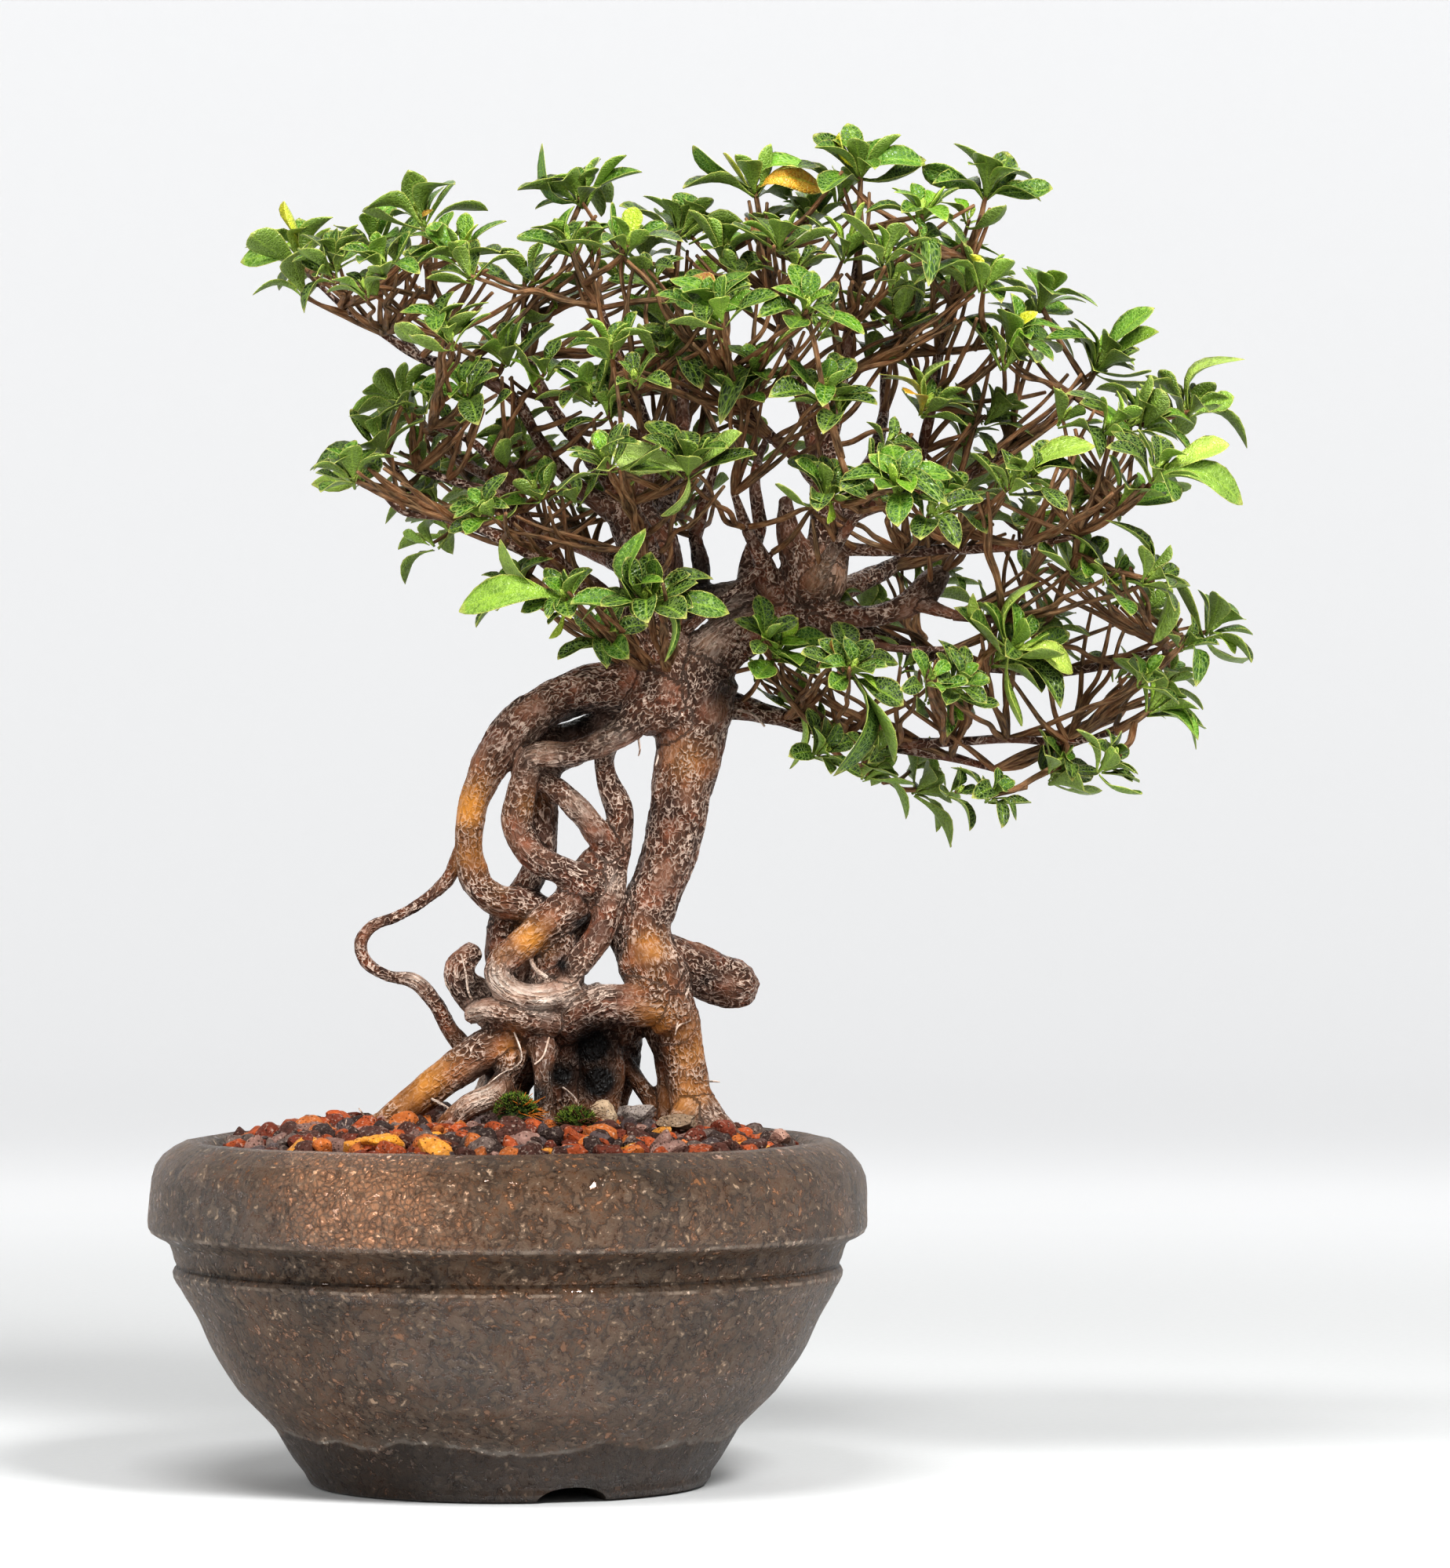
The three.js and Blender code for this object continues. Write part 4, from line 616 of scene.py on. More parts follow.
def icosphere(level):
    """Points and faces of a unit ball made of even triangles."""
    golden = (1 + 5 ** 0.5) / 2
    points = [Vector(p).normalized() for p in (
        (-1, golden, 0), (1, golden, 0), (-1, -golden, 0), (1, -golden, 0), (0, -1, golden), (0, 1, golden),
        (0, -1, -golden), (0, 1, -golden), (golden, 0, -1), (golden, 0, 1), (-golden, 0, -1),
        (-golden, 0, 1))]
    faces = [(0, 11, 5), (0, 5, 1), (0, 1, 7), (0, 7, 10), (0, 10, 11), (1, 5, 9), (5, 11, 4), (11, 10, 2),
             (10, 7, 6), (7, 1, 8), (3, 9, 4), (3, 4, 2), (3, 2, 6), (3, 6, 8), (3, 8, 9), (4, 9, 5),
             (2, 4, 11),
             (6, 2, 10), (8, 6, 7), (9, 8, 1)]
    for _ in range(level):
        middles, finer = {}, []

        def middle(a, b):
            key = (min(a, b), max(a, b))
            if key not in middles:
                middles[key] = len(points)
                points.append(((points[a] + points[b]) / 2).normalized())
            return middles[key]

        for a, b, c in faces:
            ab, bc, ca = middle(a, b), middle(b, c), middle(c, a)
            finer.extend([(a, ab, ca), (b, bc, ab), (c, ca, bc), (ab, bc, ca)])
        faces = finer
    return np.array(points), faces


def chipped(ball, size, seed, cuts=5, roughness=0.09):
    """Points of a ball knocked into a stone: flats struck off it, then a rough skin."""
    rng = random.Random(seed)
    shape = ball.copy()
    for _ in range(cuts):
        face = np.array([rng.gauss(0, 1) for _ in range(3)])
        face /= np.linalg.norm(face)
        depth = shape @ face - rng.uniform(0.55, 0.82)
        shape -= np.outer(np.clip(depth, 0, None), face)
    rough = np.array([noise.noise(Vector(p * 2.3) + Vector((seed * 1.7, 0, 0))) for p in ball])
    return shape * (1 + roughness * rough)[:, None] * np.asarray(size) / 2


def turned_points(points, spin, tilt, roll):
    """Points turned about X, Y and Z."""
    cx, sx, cy, sy, cz, sz = (f(v) for v in (tilt, roll, spin) for f in (math.cos, math.sin))
    about_x = np.array([[1, 0, 0], [0, cx, -sx], [0, sx, cx]])
    about_y = np.array([[cy, 0, sy], [0, 1, 0], [-sy, 0, cy]])
    about_z = np.array([[cz, -sz, 0], [sz, cz, 0], [0, 0, 1]])
    return points @ (about_z @ about_y @ about_x).T


def loose_grit(material):
    """Crushed lava, baked clay and pumice, poured over the soil, with a bed below so none floats."""
    ball, faces = icosphere(2)
    heap = Heap()
    spots = []
    spacing = 6.7
    rows = int(GRIT_EDGE / spacing) + 2
    for layer in range(2):
        for row in range(-rows, rows + 1):
            for column in range(-rows, rows + 1):
                x = (column + 0.5 * (row % 2) + 0.37 * layer) * spacing + dice.uniform(-2, 2)
                y = (row * 0.87 + 0.29 * layer) * spacing + dice.uniform(-2, 2)
                if math.hypot(x, y) < GRIT_EDGE - 3.2:
                    spots.append((x, y, layer))
    for number, (x, y, layer) in enumerate(spots):
        length = dice.choice([6, 7, 8.5, 10, 12.5]) * dice.uniform(0.85, 1.15)
        size = (length, length * dice.uniform(0.65, 0.95), length * dice.uniform(0.5, 0.8))
        room = GRIT_EDGE + 0.4 - math.hypot(x, y)
        if room < length / 2:
            size = tuple(value * max(0.5, 2 * room / length) for value in size)
        stone = chipped(ball, size, number, cuts=9, roughness=0.05)
        stone = turned_points(stone, dice.uniform(0, 6.28), dice.gauss(0, 0.5), dice.gauss(0, 0.5))
        height = grit_top(x, y) - 1.2 - layer * 2.6 + dice.uniform(-1.2, 1.4)
        colour = linear(dice.choices(GRIT_COLOURS, GRIT_SHARES)[0])
        shade = dice.uniform(0.75, 1.2)
        own = np.tile([*(c * shade for c in colour[:3]), 1.0], (len(stone), 1))
        heap.add(stone + [x, y, height], faces, grain_colour=own)
    grit = heap.piece("loose_grit", [material], {"grain_colour": "FLOAT_COLOR"})
    grit.data.set_sharp_from_angle(angle=math.radians(38))

    # The bed is the imported grit between and below the grains. It is painted near black, as the shade in the
    # gaps.
    bed = Heap()
    sides, shares = 96, [0.0, 0.12, 0.24, 0.36, 0.48, 0.6, 0.72, 0.84, 0.93, 1.0]
    points = [[0, 0, grit_top(0, 0) - 4.5]]
    for share in shares[1:]:
        for k in range(sides):
            turn = 2 * math.pi * k / sides
            x, y = math.cos(turn) * share * GRIT_EDGE, math.sin(turn) * share * GRIT_EDGE
            points.append([x, y, grit_top(x, y) - 4.5 + 1.2 * noise.noise(Vector((x / 5, y / 5, 0)))])
    for k in range(sides):
        turn = 2 * math.pi * k / sides
        points.append([math.cos(turn) * GRIT_EDGE, math.sin(turn) * GRIT_EDGE, 103.4])
    points.append([0, 0, 103.4])
    bed_faces = [(0, 1 + k, 1 + (k + 1) % sides) for k in range(sides)]
    for ring in range(len(shares) - 1):
        base = 1 + ring * sides
        for k in range(sides):
            after = (k + 1) % sides
            bed_faces.append((base + k, base + sides + k, base + sides + after, base + after))
    last = 1 + (len(shares) - 1) * sides
    bed_faces.extend((last + (k + 1) % sides, last + k, len(points) - 1) for k in range(sides))
    # The bed's colour is painted shade.
    dark = np.tile(linear(GRIT_BED_SHADE), (len(points), 1))
    bed.add(np.array(points, dtype=float), bed_faces, grain_colour=dark)
    base_piece = bed.piece("shaded_grit_bed", [material], {"grain_colour": "FLOAT_COLOR"})
    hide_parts("grit")
    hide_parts("grit")


STONES = [
    (-38, -70, 117, 15, 11, 8, 10, "#e0962f"),
    (32, -25, 124, 10, 9, 10, 30, "#b9a184"),
    (43, -13, 124, 14, 10, 8, -15, "#8b8079"),
    (57, -32, 121.5, 15, 9, 6, 5, "#8a745e"),
    (90, -14, 116, 9, 8, 7, 60, "#b08a7a"),
    (-58, 24, 119.5, 13, 10, 8, 40, "#b5531f"),
]


def larger_stones(material):
    ball, faces = icosphere(4)
    for number, (x, y, z, length, depth, height, turn, colour) in enumerate(STONES, 1):
        shape = chipped(ball, (length, depth, height), 100 + number, cuts=7, roughness=0.12)
        shape = turned_points(shape, math.radians(turn), 0, 0) + [x, y, z]
        heap = Heap()
        heap.add(shape, faces, grain_colour=np.tile(linear(colour), (len(shape), 1)))
        stone = heap.piece(f"pebble_{number}", [material], {"grain_colour": "FLOAT_COLOR"})
        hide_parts(f"stone_{number}")


MOSSES = [(3, -25, 124, 13, 10, 13, 0), (23, -36, 121.5, 13, 11, 10, 30)]


def moss_tufts(material):
    """Cushions of moss: a lumpy body with short curved shoots standing out of it."""
    ball, faces = icosphere(3)
    for number, (x, y, z, length, depth, height, turn) in enumerate(MOSSES, 1):
        rng = random.Random(40 + number)
        heap = Heap()
        size = np.array([length, depth, height]) / 2
        lump = ball * (0.92 + 0.18 * np.array([noise.noise(Vector(p * 2.1)) for p in ball]))[:, None] * size
        lump = turned_points(lump, math.radians(turn), 0, 0) + [x, y, z]
        heap.add(lump, faces, tip=np.full(len(lump), 0.15))
        for _ in range(900):
            way = np.array([rng.gauss(0, 1), rng.gauss(0, 1), abs(rng.gauss(0, 1)) + 0.1])
            way /= np.linalg.norm(way)
            root = turned_points((way * size * 0.95)[None], math.radians(turn), 0, 0)[0] + [x, y, z]
            out = way + np.array([rng.gauss(0, 0.35), rng.gauss(0, 0.35), 0.5])
            out /= np.linalg.norm(out)
            side = np.cross(out, [0.3, 0.9, 0.2])
            side /= np.linalg.norm(side)
            other = np.cross(out, side)
            tall = rng.uniform(1.0, 2.2)
            thick = rng.uniform(0.16, 0.28)
            ring = [side * thick, (-side * 0.5 + other * 0.87) * thick, (-side * 0.5 - other * 0.87) * thick]
            middle = root + out * tall * 0.6 + side * 0.15
            points = [root + r for r in ring] + [middle + r * 0.9 for r in ring]
            points.append(root + out * tall + other * 0.3)
            blade = [(0, 1, 4, 3), (1, 2, 5, 4), (2, 0, 3, 5), (3, 4, 6), (4, 5, 6), (5, 3, 6), (2, 1, 0)]
            heap.add(np.array(points), blade, tip=[0.2] * 3 + [0.7] * 3 + [1.0])
        for _ in range(90):
            way = np.array([rng.gauss(0, 1), rng.gauss(0, 1) - 0.5, abs(rng.gauss(0, 1))])
            way /= np.linalg.norm(way)
            root = way * size * 0.8 + [x, y, z]
            side = np.array([rng.gauss(0, 1), rng.gauss(0, 0.6), rng.gauss(0, 0.8)])
            reach = rng.uniform(2, 5)
            bend = root + way * reach * 0.5 + side
            points = [[*root, 0.22], [*bend, 0.18], [*(bend + side * 0.9 + way * reach * 0.3), 0.1]]
            vertices, faces_of_fibre, _ = swept(points, sides=4, step=1.2)
            orange = number == 1 and root[0] > x + 1
            heap.add(vertices, faces_of_fibre, tip=np.full(len(vertices), 2.0 if orange else 1.5))
        tuft = heap.piece(f"moss_tuft_{number}", [material], {"tip": "FLOAT"})
        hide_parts(f"moss_{number}")


# ---- Wood: roots, trunk and limbs ----
ROOTS = {
    "main": [[64, 0, 268, 13], [61, 0, 250, 11.5], [58, 0, 232, 10.3], [55, 0, 216, 9.4], [51, 0, 203, 9.2],
        [46, -1, 190, 8.8], [45, -3, 180, 9.4], [48, -4, 171, 11], [51, -4, 162, 9.5], [55, -3, 153, 7.5]],
    "knee": [[52, -4, 166, 9], [46, -8, 160, 7.5], [40, -11, 159.5, 6.8], [33, -13, 160, 6.5],
        [27, -12, 157.5, 6.8], [19, -8, 153, 7]],
    "right_leg": [[54, -2, 160, 8], [57, 0, 150, 7], [58.5, 0, 141, 7], [60, -1, 131, 7.2], [63, -2, 121, 9],
        [64, -3, 110, 10]],
    "right_toe": [[62, -3, 126, 6], [70, -5, 119.5, 4.5], [78, -7, 112, 3]],
    "front_toe": [[62, -3, 126, 6], [56, -9, 119.5, 4.5], [50, -15, 112, 3.5]],
    "rear_leg": [[50, 6, 154, 6], [52.5, 7, 142, 4.4], [53.5, 7, 130, 4.4], [53, 8, 110, 5.5]],
    "cut_stub": [[50, 3, 176, 8], [60, 6, 172, 8.5], [68, 8, 168, 8.8], [77, 8, 166, 8.2], [81, 8, 166, 6]],
    "left_arch": [[50, 2, 267, 11], [38, 1, 265, 8.5], [28, 0, 265, 8], [18, -1, 261.5, 7.3],
        [8, -2, 256.5, 7.3],
        [0, -3, 249, 7.4], [-6, -3, 240, 6.2], [-10.5, -2, 230, 5.3], [-13, -1, 220, 4.8],
        [-13.2, 0, 210, 4.8],
        [-11, 0, 200, 5.1], [-4, 0, 194.5, 5.2], [4, 0, 193, 5.5], [15, 2, 188, 5.5]],
    "thin_loop": [[-12, 4, 222, 2.2], [-18, 6, 208, 2.2], [-20.5, 5, 201, 2.4], [-30, 2, 193, 2],
        [-38, 0, 188.5, 2],
        [-45, -1, 186, 2.2], [-49.5, -1, 180, 2.3], [-47, -1, 173, 2.2], [-40, -1, 169, 2.1],
        [-31, -1, 167, 2.8],
        [-24, 0, 159, 2.7], [-19, 2, 150, 3], [-13, 3, 143, 4], [-8, 0, 140, 5]],
    "front_arm": [[52, -3, 264, 10], [43, -8, 255, 6.3], [38, -10, 250, 5], [31, -12, 246.5, 4.3],
        [23, -13, 243.5, 4.1], [15, -13, 242.7, 4.4], [8, -11, 241.5, 4.5], [5, -7, 234, 4.7],
        [3, -5, 225, 5.3],
        [3.5, -5, 217, 5], [7, -6, 210.5, 4.8], [14, -7, 206, 4.7], [22, -8, 203, 4.8], [28, -7, 199, 6]],
    "rear_arm": [[42, 6, 262, 6], [30, 8, 254, 4.2], [18, 8, 249.5, 4], [8, 5, 248, 4], [2, -2, 247, 5]],
    "rear_upright": [[24, -4, 243.5, 4.2], [15, 4, 240, 4.3], [12, 3, 231, 4.4], [11.5, 2, 221, 4.6],
        [11.5, 2, 211, 4.6], [8, 3, 203, 4.6], [3, 5, 195, 4.8], [-2, 6, 187, 5], [-3.5, 6, 178, 5],
        [-2, 5, 169, 5.5], [1, 4, 158, 6.5]],
    "diagonal": [[8, -5, 238, 4], [14, -5, 233, 3.8], [21, -8, 227, 4.1], [28, -9, 219, 4.4],
        [34, -7, 211, 5]],
    "right_upright": [[33, -9, 248, 4], [32, -3, 239, 3.5], [34, -4, 231, 4.2], [37, -4, 224, 4.8],
        [36.5, -5, 214, 4.7],
        [35, -6, 205, 4.6], [34, -7, 196, 4.6], [31.5, -9, 186, 4.6], [27, -11, 178, 4.7],
        [20, -13.5, 170, 4.6]],
    "cross": [[37, -5, 212, 4.5], [30, -4, 207, 6.5], [25, -3, 199, 7.5], [19, -4, 191, 7],
        [12, -6, 186, 6.2],
        [5, -9, 180, 5.4], [-1, -12, 174, 4.8]],
    "pale_loop": [[0, -11, 177, 4.8], [-3.5, -13, 170.5, 4.7], [0, -14.5, 165, 4.6], [7, -15, 162.5, 4.3],
        [15, -14, 163, 4.7], [22, -12, 166, 5]],
    "ledge": [[-13, -8, 156, 3.4], [-5, -12, 158, 4.4], [5, -13, 156, 5], [16, -11, 154, 5]],
    "heart": [[14, 0, 184, 8], [16, 0, 172, 9], [14, -1, 160, 11], [22, 0, 154, 10], [34, 0, 160, 8]],
    "left_foot": [[18, -1, 154, 8.8], [8, -3, 150.5, 8.4], [-2, -5, 147, 7.6], [-13, -7, 141, 6.6],
        [-26, -10, 131.5, 5.8], [-35, -12, 125, 5], [-45, -14, 118, 4], [-56, -16, 110, 3]],
    "pale_foot": [[-28, -17, 111, 3], [-18, -18, 122, 3.6], [-12, -18, 127, 4.3], [-5, -15, 130, 4],
        [0, -10, 137, 4],
        [3, -5, 146, 5]],
    "pillar": [[24, 2, 158, 10], [28, 3, 147, 9.4], [30, 3, 136, 8.4], [29, 3, 125, 8.2], [28, 2, 109, 9]],
    "rear_brace": [[32, 7, 152, 4.4], [37, 9, 143, 3.3], [42.5, 9, 134, 3], [48, 8, 126, 3.2],
                   [53, 8, 115, 4]],
    "dead_stub": [[-3, 0, 156, 6.5], [-12, -2, 163, 6.4], [-17, -3, 169, 4.8], [-15, -2, 174, 4.6],
        [-11, -2, 178, 3.6]],
    "fibrous": [[12, -10, 146, 5], [12, -16, 137, 3.4], [12, -20, 127, 3.4], [13, -22, 110, 4]],
    "bridge": [[35, -2, 196, 4], [36.5, -2, 189, 4.4], [37.5, -2, 182, 4.2], [40, -2, 176, 4.4]],
    "rear_mass": [[30, 5, 197, 4.4], [25, 6, 188, 5.4], [16, 6, 180, 6.6], [6, 7, 172, 6.6], [0, 6, 162, 6]],
    "rear_knot": [[-3, 6, 186, 4.6], [4, 7, 186, 4.6], [12, 6, 182, 5.5]],
    "heart_left": [[16, 2, 158, 9], [6, 4, 146, 8.5], [0, 6, 134, 8], [-3, 7, 122, 7], [-4, 8, 110, 7]],
    "heart_front": [[18, 0, 150, 8], [16, 0, 138, 7.5], [16, 0, 126, 7], [17, 1, 110, 7.5]],
    "back_right": [[36, 4, 154, 8], [38, 16, 143, 6.2], [34, 28, 128, 6], [28, 40, 110, 5]],
    "back_left": [[10, 6, 158, 8], [2, 18, 145, 6], [-8, 28, 128, 5.2], [-18, 36, 110, 4.5]],
}

LIMBS = {
    "trunk": [[57, 0, 254, 14], [53, 0, 266, 15], [50, 0, 277, 13], [47, 0, 289, 10.8], [48, 1, 301, 10.5],
        [46, 1, 313, 10.5], [43, 1, 322, 8], [41, 1, 329, 5]],
    "right_limb": [[56, 0, 262, 12], [64, 1, 271, 11.5], [73, 2, 281, 9.5], [83, 2, 286, 8.5],
        [94, 1, 290, 8],
        [103, 0, 297, 8.3], [106, 0, 308, 7.8], [106, 0, 319, 6.6], [104, 1, 333, 4.8], [103, 2, 346, 4]],
    "right_spur": [[98, -1, 289, 6.5], [112, -4, 288.5, 5], [124, -5, 289.5, 4.8], [133, -5, 293, 5.2],
        [140, -5, 299, 6], [145, -5, 304, 4]],
    "dead_branch": [[56, -4, 282, 3], [66, -9, 290, 2.2], [80, -11, 301, 2.3], [88, -11, 310, 1.6]],
    "heart_bridge": [[50, 4, 297, 7], [62, 4, 294, 6.4], [76, 3, 296, 6], [92, 2, 300, 6]],
    "stump": [[100, -2, 296, 8], [96, -4, 308, 6.5], [93, -4, 318, 5], [92, -3, 328, 3.4]],
    "inner_left": [[58, 3, 290, 6], [64, 8, 302, 4.4], [62, 12, 316, 3.4], [66, 14, 331, 2.6],
        [71, 16, 346, 2]],
    "inner_middle": [[80, 4, 294, 6], [80, 10, 306, 4.4], [84, 16, 320, 3.4], [82, 20, 336, 2.6],
        [86, 24, 350, 2]],
    "inner_front": [[88, -2, 296, 6], [84, -10, 308, 4], [79, -15, 318, 3], [75, -19, 329, 2.2]],
    "low_left": [[46, 0, 284, 7], [38, 0, 289, 6], [29, -2, 297, 5], [20, -5, 303, 4.6], [10, -9, 309, 4],
        [0, -12, 313, 3], [-10, -14, 318, 2.5], [-22, -16, 321.5, 2.2], [-34, -18, 323, 2],
        [-42, -20, 330, 1.6]],
    "low_left_fork": [[-24, -16, 321.5, 1.9], [-33, -13, 332, 1.6], [-39, -10, 341, 1.4]],
    "left_stub": [[17, -6, 304, 4.6], [8, -3, 314, 5], [3, -2, 323, 5], [1, -2, 331, 4.5], [0, -2, 338, 3.5],
        [-2, -2, 342, 2.4]],
    "left_fan_low": [[2, -3, 327, 3.8], [-10, -9, 331, 2.6], [-20, -12, 334, 2.2], [-30, -14, 337, 1.8]],
    "left_fan_back": [[0, -2, 331, 3.4], [-8, 5, 336, 2.6], [-18, 13, 342, 2.2], [-28, 22, 350, 1.6]],
    "left_fan_front": [[1, -3, 333, 3], [-6, -8, 341, 2.3], [-13, -14, 347, 2], [-25, -20, 351, 1.5]],
    "high_left": [[43, 1, 316, 8], [37, 1, 323, 6], [30, 1, 327, 4.6], [22, 1, 333, 3.8], [14, 0, 342, 3.3],
        [8, -1, 351, 3], [3, -1, 360, 3.2], [-6, -2, 367, 3.5], [-16, -3, 371.5, 3], [-29, -3, 375, 2.5],
        [-42, -4, 383, 2], [-55, -5, 392, 1.7], [-63, -5, 399, 1.5]],
    "high_left_fork": [[-30, -3, 375.5, 2.2], [-38, 4, 386, 1.7], [-44, 9, 397, 1.4]],
    "high_left_front": [[-17, -3, 371.5, 2.4], [-21, -12, 381, 1.8], [-26, -16, 394, 1.5]],
    "crown_left": [[42, 2, 322, 6], [36, 5, 331, 4.6], [28, 9, 341, 4], [20, 13, 351, 3.4], [12, 17, 362, 3],
        [6, 19, 376, 2.4], [4, 18, 390, 1.8]],
    "crown_front": [[43, 0, 322, 6], [45, -7, 334, 4.5], [46, -16, 348, 3.8], [42, -22, 362, 3.2],
        [36, -25, 376, 2.6],
        [31, -24, 390, 2]],
    "crown_back": [[43, 2, 320, 6], [50, 11, 334, 4.6], [57, 20, 350, 3.7], [58, 26, 366, 3.1],
        [54, 26, 382, 2.5],
        [52, 22, 396, 1.9]],
    "crown_right": [[103, 2, 343, 4.2], [99, 4, 357, 3.7], [96, 5, 370, 3.2], [92, 5, 383, 2.7],
        [88, 5, 397, 2.2],
        [86, 4, 412, 1.7]],
    "crown_tip": [[104, 1, 336, 4.6], [108, -4, 352, 3.7], [111, -8, 368, 3.2], [113, -10, 384, 2.6],
        [115, -10, 400, 2.1], [117, -9, 417, 1.7]],
    "long_pale": [[105, -1, 312, 4.5], [116, -7, 311, 3.3], [132, -15, 310, 2.8], [150, -22, 310.5, 2.4],
        [170, -29, 311.5, 2.1], [188, -34, 315, 1.8], [202, -37, 322, 1.5]],
    "right_high": [[105, 1, 319, 5.4], [118, 5, 325, 4.2], [134, 9, 330, 3.7], [150, 11, 335, 3.2],
        [165, 12, 343, 2.8], [178, 12, 352, 2.4], [189, 11, 363, 2]],
    "right_tall": [[132, 9, 330, 3.6], [138, 4, 344, 2.9], [141, 1, 360, 2.5], [143, -1, 377, 2.1],
        [147, -2, 393, 1.8], [152, -3, 408, 1.5]],
    "low_right": [[62, 6, 262, 8], [76, 12, 259, 5.4], [92, 16, 255, 4.2], [110, 18, 250, 3.5],
        [130, 18, 245.5, 3],
        [148, 16, 242, 2.4], [162, 13, 238, 1.8]],
    "low_right_front": [[126, 18, 246.5, 2.8], [146, 9, 247, 2.4], [166, 1, 248, 2.1], [186, -4, 247, 1.8],
        [202, -7, 250, 1.5]],
    "mid_right": [[102, 2, 293, 6], [118, 8, 284, 4], [138, 12, 277, 3.4], [160, 13, 272.5, 2.9],
        [184, 12, 270.5, 2.4], [202, 10, 273.5, 2], [220, 7, 279, 1.6]],
    "spur_twig": [[134, -5, 294, 4.4], [148, -12, 289, 2.8], [164, -18, 287, 2.2]],
    "under_twig": [[99, -2, 290, 5], [108, -9, 283, 3], [118, -16, 279.5, 2.2], [132, -21, 277.5, 1.9],
        [147, -25, 277.5, 1.6]],
    "front_diagonal": [[103, -2, 334, 4], [96, -9, 341, 3.2], [88, -16, 347, 2.8], [79, -23, 356, 2.4],
        [72, -28, 367, 2]],
    "back_left_limb": [[49, 6, 302, 7], [40, 22, 306, 5], [27, 38, 312, 4], [10, 51, 319, 3.2],
        [-6, 60, 328, 2.3]],
    "back_limb": [[47, 5, 313, 7], [51, 22, 324, 5], [55, 40, 336, 4], [57, 55, 349, 3], [55, 66, 363, 2.2]],
    "back_right_limb": [[102, 4, 296, 6], [113, 22, 299, 5], [127, 40, 306, 4], [143, 55, 315, 3],
        [157, 66, 326, 2.2]],
    "back_high_limb": [[105, 3, 320, 5.4], [114, 20, 330, 4.2], [122, 36, 343, 3.4], [126, 48, 359, 2.7],
        [126, 56, 376, 2]],
    "front_left_limb": [[48, -5, 303, 6.5], [48, -20, 308, 4.6], [46, -34, 315, 3.6], [42, -46, 325, 2.6]],
    "front_right_limb": [[101, -4, 297, 6], [104, -20, 304, 4.2], [109, -36, 312, 3.2], [116, -50, 322, 2.4]],
    "front_spur": [[48, -6, 291, 4.6], [47, -15, 293, 2.6], [47, -22, 293, 1.8]],
}

# Stains are (x, z, reach, ochre, pale, dark), seen from the front, for the skin near that place. The dark
# share is painted shade.
STAINS_AND_SHADE = [
    (-14, 226, 13, 1.0, 0, 0), (-13, 210, 11, 0.9, 0, 0), (-4, 197, 7, 0.4, 0, 0), (60, 240, 10, 0.4, 0, 0),
    (8, 182, 9, 0.95, 0, 0), (46, 178, 9, 0.9, 0, 0), (48, 170, 8, 0.6, 0, 0), (-30, 134, 18, 0.9, 0, 0),
    (-46, 121, 12, 0.8, 0, 0), (60, 146, 11, 0.85, 0, 0), (60, 128, 13, 0.7, 0, 0), (8, 226, 6, 0.5, 0, 0),
    (0, 146, 9, 0.6, 0, 0), (-2, 176, 5, 0.7, 0, 0), (50, 155, 10, 0.6, 0, 0), (66, 120, 9, 0.4, 0.2, 0),
    (-3, 167, 7, 0, 0.9, 0), (3, 163, 7, 0.2, 0.6, 0), (11, 162, 7, 0, 0.85, 0), (20, 164, 6, 0.1, 0.7, 0),
    (-10, 157, 6, 0, 0.6, 0), (-8, 129, 8, 0.1, 0.9, 0), (-14, 126, 5, 0.2, 0.5, 0), (36, 200, 5, 0, 0.45, 0),
    (12, 244, 12, 0.1, 0.3, 0), (34, 248, 9, 0, 0.3, 0), (24, 226, 8, 0.1, 0.25, 0), (30, 168, 7, 0, 0.5, 0),
    (-31, 168, 5, 0, 0.6, 0), (72, 292, 9, 0, 0.75, 0), (66, 282, 9, 0.2, 0.6, 0),
    (106, 303, 10, 0.35, 0.3, 0),
    (160, 311, 24, 0.5, 0.35, 0), (28, 146, 13, 0, 0, 1.0), (30, 134, 12, 0, 0, 1.0), (18, 136, 9, 0, 0, 0.9),
    (22, 254, 10, 0, 0, 0.75), (-12, 165, 6, 0, 0, 0.6), (72, 264, 9, 0, 0, 0.7), (18, 173, 5, 0, 0, 0.85),
    (140, 299, 9, 0, 0, 0.55), (64, 300, 16, 0, 0, 0.75), (10, 130, 9, 0, 0, 0.8), (-4, 137, 5, 0, 0, 0.7),
    (28, 318, 8, 0, 0, 0.5), (66, 168, 6, 0, 0, 0.45), (24, 187, 4, 0, 0, 0.7), (44, 140, 8, 0, 0, 0.8),
]


def slimmed(points):
    """A limb as the eye sees it: its outer length is finer than the thickness that it is drawn with."""
    return [[x, y, z, r * float(np.interp(r, [2, 9], [0.66, 1.0]))] for x, y, z, r in points]


